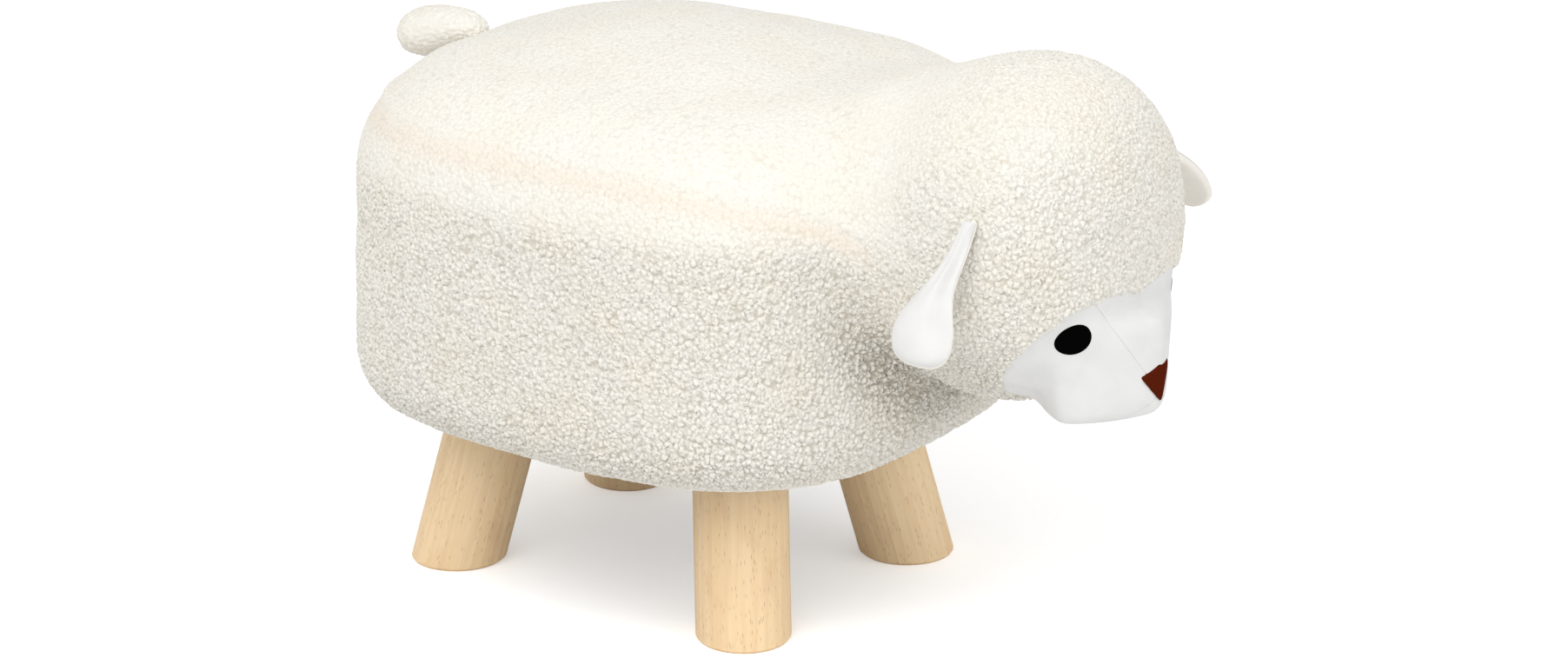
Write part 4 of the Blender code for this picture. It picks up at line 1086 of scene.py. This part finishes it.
def ear_leaf(side, layer, hand):
    rings = []
    front_shares = EAR_FRONT_SHARES[hand]
    for step in range(KNUCKLE_STEPS, 0, -1):
        turn = math.pi / 2 * step / (KNUCKLE_STEPS + 1)
        rings.append(ear_ring(side, layer, EAR_ROOT * math.sin(turn), EAR_WIDTH * EAR_BACK_SHARES[0],
                              EAR_WIDTH * front_shares[0], EAR_ROOT * math.cos(turn), 0, hand))
    shares = zip(EAR_LENGTH_SHARES, EAR_BACK_SHARES, front_shares, EAR_BULK_SHARES, EAR_STEP_SHARES)
    for length, back, front, bulk, step_share in shares:
        half = EAR_ROOT + (EAR_THICKNESS / 2 - EAR_ROOT) * bulk
        rings.append(ear_ring(side, layer, -EAR_LENGTH * length, EAR_WIDTH * back, EAR_WIDTH * front,
                              half, bulk, hand, step_share))
    return rings


print("rings of an ear leaf", KNUCKLE_STEPS + len(EAR_LENGTH_SHARES))

# %% Ears
EAR_ROUNDINGS = 3

for side, hand in ((-1, "right"), (1, "left")):
    swing = Matrix.Translation(joint_place("ear_" + hand + "_hinge"))
    swing = swing @ Matrix.Rotation(side * EAR_DROOPS[hand], 4, "X")
    for layer, node in ((1, "ear_" + hand), (-1, "ear_lining_" + hand)):
        rings = [[swing @ point for point in ring] for ring in ear_leaf(side, layer, hand)]
        leaf = add_object("plush_" + node, lofted(node, rings))
        leaf.data.shade_smooth()
        leaf.data.materials.append(ear_cloth if layer > 0 else ear_inside)
        rounding = leaf.modifiers.new("rounding", "SUBSURF")
        rounding.levels = rounding.render_levels = EAR_ROUNDINGS
        declare(leaf, "ear_" + hand, "ear_plush", node, fill=0.5)
    print("ear", hand, "droops", round(math.degrees(EAR_DROOPS[hand])), "degrees")

# %% [markdown]
# ## Tail
# The tail is a small stuffed pouch of the same coat with a shorter pile. It is lofted from the
# root, which droops into the seat's pile, to the tip along its own axis, given fine curls, and set
# at its hinge.

# %% Tail
TAIL_LENGTH = 0.052
TAIL_WIDTH = 0.034
TAIL_HEIGHT = 0.027
TAIL_ROOT = 0.0065
TAIL_DROOP = math.radians(14)
TAIL_LENGTH_SHARES = (0.0, 0.01, 0.05, 0.18, 0.36, 0.55, 0.74, 0.89, 0.97, 1.0)
TAIL_BULK_SHARES = (0.0, 0.22, 0.42, 0.64, 0.82, 0.97, 1.0, 0.80, 0.46, 0.0)
TAIL_ROWS = 90
TAIL_COLUMNS = 110
TAIL_CURL_SIZE = 0.0026
TAIL_CURL_HEIGHT = 0.0011
TAIL_ROOT_DROP = 0.0035
TAIL_ROOT_END = 0.3
TAIL_START = 0.9
TAIL_EVENINGS = 5
TAIL_LIT = 0.9
TAIL_NAP = 0.25
TAIL_SEED = 7.0


def tail_shape():
    length = (1 - np.cos(np.linspace(0, math.pi, TAIL_ROWS))) / 2
    bulk = np.interp(length, TAIL_LENGTH_SHARES, TAIL_BULK_SHARES)
    for step in range(TAIL_EVENINGS):
        bulk[1:-1] = (bulk[:-2] + bulk[1:-1] * 2 + bulk[2:]) / 4
    turn = np.linspace(0, math.tau, TAIL_COLUMNS, endpoint=False)
    start = TAIL_ROOT * TAIL_START
    x = (start - (start + TAIL_LENGTH) * length)[:, None] + 0 * turn
    y = (TAIL_WIDTH / 2 * bulk)[:, None] * np.cos(turn)
    drop = TAIL_ROOT_DROP * np.clip(1 - length / TAIL_ROOT_END, 0, 1) ** 2
    z = (TAIL_HEIGHT / 2 * bulk)[:, None] * np.sin(turn) - drop[:, None]
    rings = [[Vector(point) for point in zip(*row)] for row in zip(x[1:-1], y[1:-1], z[1:-1])]
    return [[Vector((start, 0, -TAIL_ROOT_DROP))]] + rings + [[Vector((-TAIL_LENGTH, 0, 0))]]


swing = Matrix.Translation(joint_place("tail_hinge")) @ Matrix.Rotation(-TAIL_DROOP, 4, "Y")
mesh = lofted("tail", [[swing @ point for point in ring] for ring in tail_shape()])
tail_places = points_of(mesh)
tail_pile = curls(tail_places, TAIL_CURL_SIZE, TAIL_SEED)
flat = 0 * tail_pile
tail_places += normals_of(mesh) * ((tail_pile - CURL_SINK) * TAIL_CURL_HEIGHT)[:, None]
mesh.vertices.foreach_set("co", tail_places.ravel())
mesh.shade_smooth()
# Painted light: the tail is made almost evenly bright, with only a little painted shade between the curls.
tail_painted_light = TAIL_LIT + (1 - TAIL_LIT) * tail_pile
for key, values in (("painted_light", tail_painted_light), ("nap", flat + TAIL_NAP), ("band", flat)):
    mesh.attributes.new(key, "FLOAT", "POINT").data.foreach_set("value", values)
mesh.materials.append(wool)
declare(add_object("wool_tail", mesh), "tail", "boucle", "tail_cover", fill=0.7)
print("tail", TAIL_LENGTH, "m long")

# %% [markdown]
# ## Legs
# The legs are turned rubberwood under a clear lacquer. The solids already have the right shape, so
# they stay and get a finish. The grain runs along each leg, which leans, so the pattern's own axis
# is laid along the leg first. Rubberwood shows long pale and darker streaks, brown patches, and
# short brown pores.

# %% Rubberwood finish
STREAK = 0.0030
STREAK_STRETCH = 0.06
PORE = 0.00062
PORE_STRETCH = 0.11
SMUDGE = 0.020
SMUDGE_STRETCH = 0.55
SMUDGE_STRENGTH = 0.42
PORE_STRENGTH = 0.62
LEVEL = 0.0001
NEXT_LEG = 0.031
OFF_PITH = 0.017


def leg_axis(node):
    corners = [vertex.co for vertex in frame["nodes"][node].data.vertices]
    top = max(corner.z for corner in corners)
    feet = [corner for corner in corners if corner.z < LEVEL]
    heads = [corner for corner in corners if corner.z > top - LEVEL]
    foot = sum(feet, Vector()) / len(feet)
    return foot, (sum(heads, Vector()) / len(heads) - foot).normalized()


def rubberwood(name, foot, axis, offset):
    finish, shader = new_material(name, (0.80, 0.59, 0.35), 0.5, Specular_IOR_Level=0.3)
    straight = add_node(finish, "Mapping", {"Vector": place_of(finish), "Location": foot,
                                            "Rotation": axis.to_track_quat("Z", "Y").to_euler()},
                        vector_type="TEXTURE").outputs[0]
    moved = add_node(finish, "VectorMath", {0: straight, 1: offset}, operation="ADD").outputs[0]
    long = stretched(finish, moved, (1, 1, STREAK_STRETCH))
    streak = mottle(finish, long, 1 / STREAK, 5.0, Roughness=0.62, Distortion=0.3)
    broad = mottle(finish, long, 0.25 / STREAK, 2.0)
    patch = mottle(finish, stretched(finish, moved, (1, 1, SMUDGE_STRETCH)), 1 / SMUDGE, 4.0)
    dashes = stretched(finish, moved, (1, 1, PORE_STRETCH))
    cells = add_node(finish, "TexVoronoi", {"Vector": dashes, "Scale": 1 / PORE})
    chance = add_node(finish, "SeparateColor", {"Color": cells.outputs["Color"]}).outputs[0]
    thin = ramp(finish, cells.outputs["Distance"], 0.32, 0.12)
    pore = maths(finish, "MULTIPLY", thin, ramp(finish, chance, 0.62, 0.76))
    light = colour_mix(finish, ramp(finish, broad, 0.35, 0.68), (0.89, 0.685, 0.43), (0.84, 0.61, 0.355))
    grain = colour_mix(finish, ramp(finish, streak, 0.45, 0.78), light, (0.79, 0.565, 0.335))
    browned = maths(finish, "MULTIPLY", ramp(finish, patch, 0.56, 0.72), SMUDGE_STRENGTH)
    grain = colour_mix(finish, browned, grain, (0.66, 0.43, 0.24))
    poked = maths(finish, "MULTIPLY", pore, PORE_STRENGTH)
    feed(finish, shader, "Base Color", colour_mix(finish, poked, grain, (0.30, 0.15, 0.06)))
    painted_shade_and_gloss = add_node(finish, "MapRange", {"Value": streak, "To Min": 0.42, "To Max": 0.62})
    feed(finish, shader, "Roughness", painted_shade_and_gloss.outputs[0])
    hollow = maths(finish, "SUBTRACT", 1.0, pore)
    bump(finish, shader, (streak, 0.00015, 0.4), (hollow, 0.0002, 0.5))
    return finish


def dress(node, finish):
    """Give a kept solid its finish."""
    slots = frame["nodes"][node].data.materials
    slots.clear()
    slots.append(finish)


for number, leg in enumerate(LEGS):
    foot, axis = leg_axis(leg)
    dress(leg, rubberwood("rubberwood_" + leg, foot, axis, (NEXT_LEG * number, OFF_PITH, 0.0)))
    print(leg, "leans", round(math.degrees(axis.angle(Vector((0, 0, 1)))), 1), "degrees")

# %% [markdown]
# ## Under and inside
# Turned over, the stool shows the black dust cover and its staples. Inside are the boards, posts
# and fixings. They keep their solids, and each has a finish of its own. The foams and fillings are
# soft, so each gets a rounded copy with an open, cellular surface in place of its plain solid. The
# head's stuffing is drawn in a little, so that it can't come through the cloth.

# %% Finishes of the hidden parts
BOARD_STRETCH = 0.12
BOARD_GRAIN_PER_METRE = 260.0
SPANGLES_PER_METRE = 900.0
FELT_FIBRES_PER_METRE = 1400.0
DIMPLES_PER_METRE = 520.0


def board_finish(name, colour, deep, ply):
    finish, shader = new_material(name, colour, 0.7)
    place = place_of(finish)
    grain = mottle(finish, stretched(finish, place, (BOARD_STRETCH, 1, 1)), BOARD_GRAIN_PER_METRE, 5.0)
    height_of = add_node(finish, "SeparateXYZ", {0: place}).outputs["Z"]
    stripe = maths(finish, "SINE", maths(finish, "MULTIPLY", height_of, math.pi / ply))
    mixed = maths(finish, "MULTIPLY", ramp(finish, grain, 0.35, 0.7), stripe)
    feed(finish, shader, "Base Color", colour_mix(finish, mixed, colour, deep))
    bump(finish, shader, (grain, 0.0002, 0.4))
    return finish


def zinc_finish():
    finish, shader = new_material("zinc_plate", (0.62, 0.62, 0.60), 0.35, Metallic=1.0)
    inputs = {"Vector": place_of(finish), "Scale": SPANGLES_PER_METRE}
    spangle = add_node(finish, "TexVoronoi", inputs).outputs["Distance"]
    dull = add_node(finish, "MapRange", {"Value": spangle, "To Min": 0.28, "To Max": 0.5})
    feed(finish, shader, "Roughness", dull.outputs[0])
    bump(finish, shader, (spangle, 0.00005, 0.4))
    return finish


def felted_finish():
    """Spun-bonded cloth: fibres pressed together, with a grid of small welded dimples."""
    finish, shader = new_material("dust_cloth", (0.022, 0.022, 0.022), 0.9, Specular_IOR_Level=0.25)
    place = place_of(finish)
    fibres = mottle(finish, place, FELT_FIBRES_PER_METRE, 4.0)
    inputs = {"Vector": place, "Scale": DIMPLES_PER_METRE, "Randomness": 0.2}
    dimples = add_node(finish, "TexVoronoi", inputs).outputs["Distance"]
    shade = colour_mix(finish, ramp(finish, fibres, 0.35, 0.7), (0.014, 0.014, 0.014),
                       (0.045, 0.045, 0.045))
    feed(finish, shader, "Base Color", shade)
    bump(finish, shader, (ramp(finish, dimples, 0.15, 0.35), 0.0002, 0.7), (fibres, 0.0001, 0.5))
    return finish


def open_cell_finish(name, colour, deep, cell):
    finish, shader = new_material(name, colour, 0.95, Specular_IOR_Level=0.1)
    cells = add_node(finish, "TexVoronoi", {"Vector": place_of(finish), "Scale": 1 / cell})
    pores = ramp(finish, cells.outputs["Distance"], 0.15, 0.6)
    feed(finish, shader, "Base Color", colour_mix(finish, pores, deep, colour))
    bump(finish, shader, (pores, cell / 3, 0.6))
    return finish


plywood = board_finish("plywood_board", (0.62, 0.44, 0.27), (0.44, 0.28, 0.15), 0.0015)
hardboard = board_finish("hardboard_band", (0.35, 0.24, 0.15), (0.26, 0.17, 0.10), 0.004)
zinc = zinc_finish()
finishes = {"plywood": plywood, "fibreboard": hardboard, "zinc_steel": zinc, "lining": felted_finish()}
slots = {part["node"]: part["material_slot"] for part in frame["record"]["subparts"]}
for node, slot_name in slots.items():
    if slot_name in finishes:
        dress(node, finishes[slot_name])
print("hidden nodes dressed", sum(name in finishes for name in slots.values()))

# %% Foams and fillings
WELD = 0.00005
COVER_ROOM = 0.0025


def padded_copy(name, node, body, slot_name, finish, fill, room):
    shape = bmesh.new()
    shape.from_mesh(frame["nodes"][node].data)
    bmesh.ops.remove_doubles(shape, verts=shape.verts, dist=WELD)
    shape.normal_update()
    inward = [vertex.normal * room for vertex in shape.verts]
    for vertex, move in zip(shape.verts, inward):
        vertex.co -= move
    mesh = bpy.data.meshes.new(name)
    shape.to_mesh(mesh)
    shape.free()
    mesh.materials.clear()
    mesh.materials.append(finish)
    mesh.shade_smooth()
    made = add_object(name, mesh)
    rounding = made.modifiers.new("rounding", "SUBSURF")
    rounding.levels = rounding.render_levels = 1
    declare(made, body, slot_name, node, fill=fill)


foam = open_cell_finish("foam_cells", (0.85, 0.80, 0.55), (0.70, 0.63, 0.38), 0.0009)
fibre = open_cell_finish("fibre_filling", (0.90, 0.90, 0.90), (0.78, 0.78, 0.78), 0.0014)
for name, node, body, slot_name, finish, fill, room in (
        ("seat_padding", "seat_foam", "stool", "foam", foam, 1.0, 0.0),
        ("side_padding", "side_foam", "stool", "foam", foam, 1.0, 0.0),
        ("head_stuffing", "head_filling", "stool", "filling", fibre, 0.8, COVER_ROOM),
        ("tail_stuffing", "tail_filling", "tail", "filling", fibre, 0.8, 0.0)):
    padded_copy(name, node, body, slot_name, finish, fill, room)
    print(name, "stands for", node)
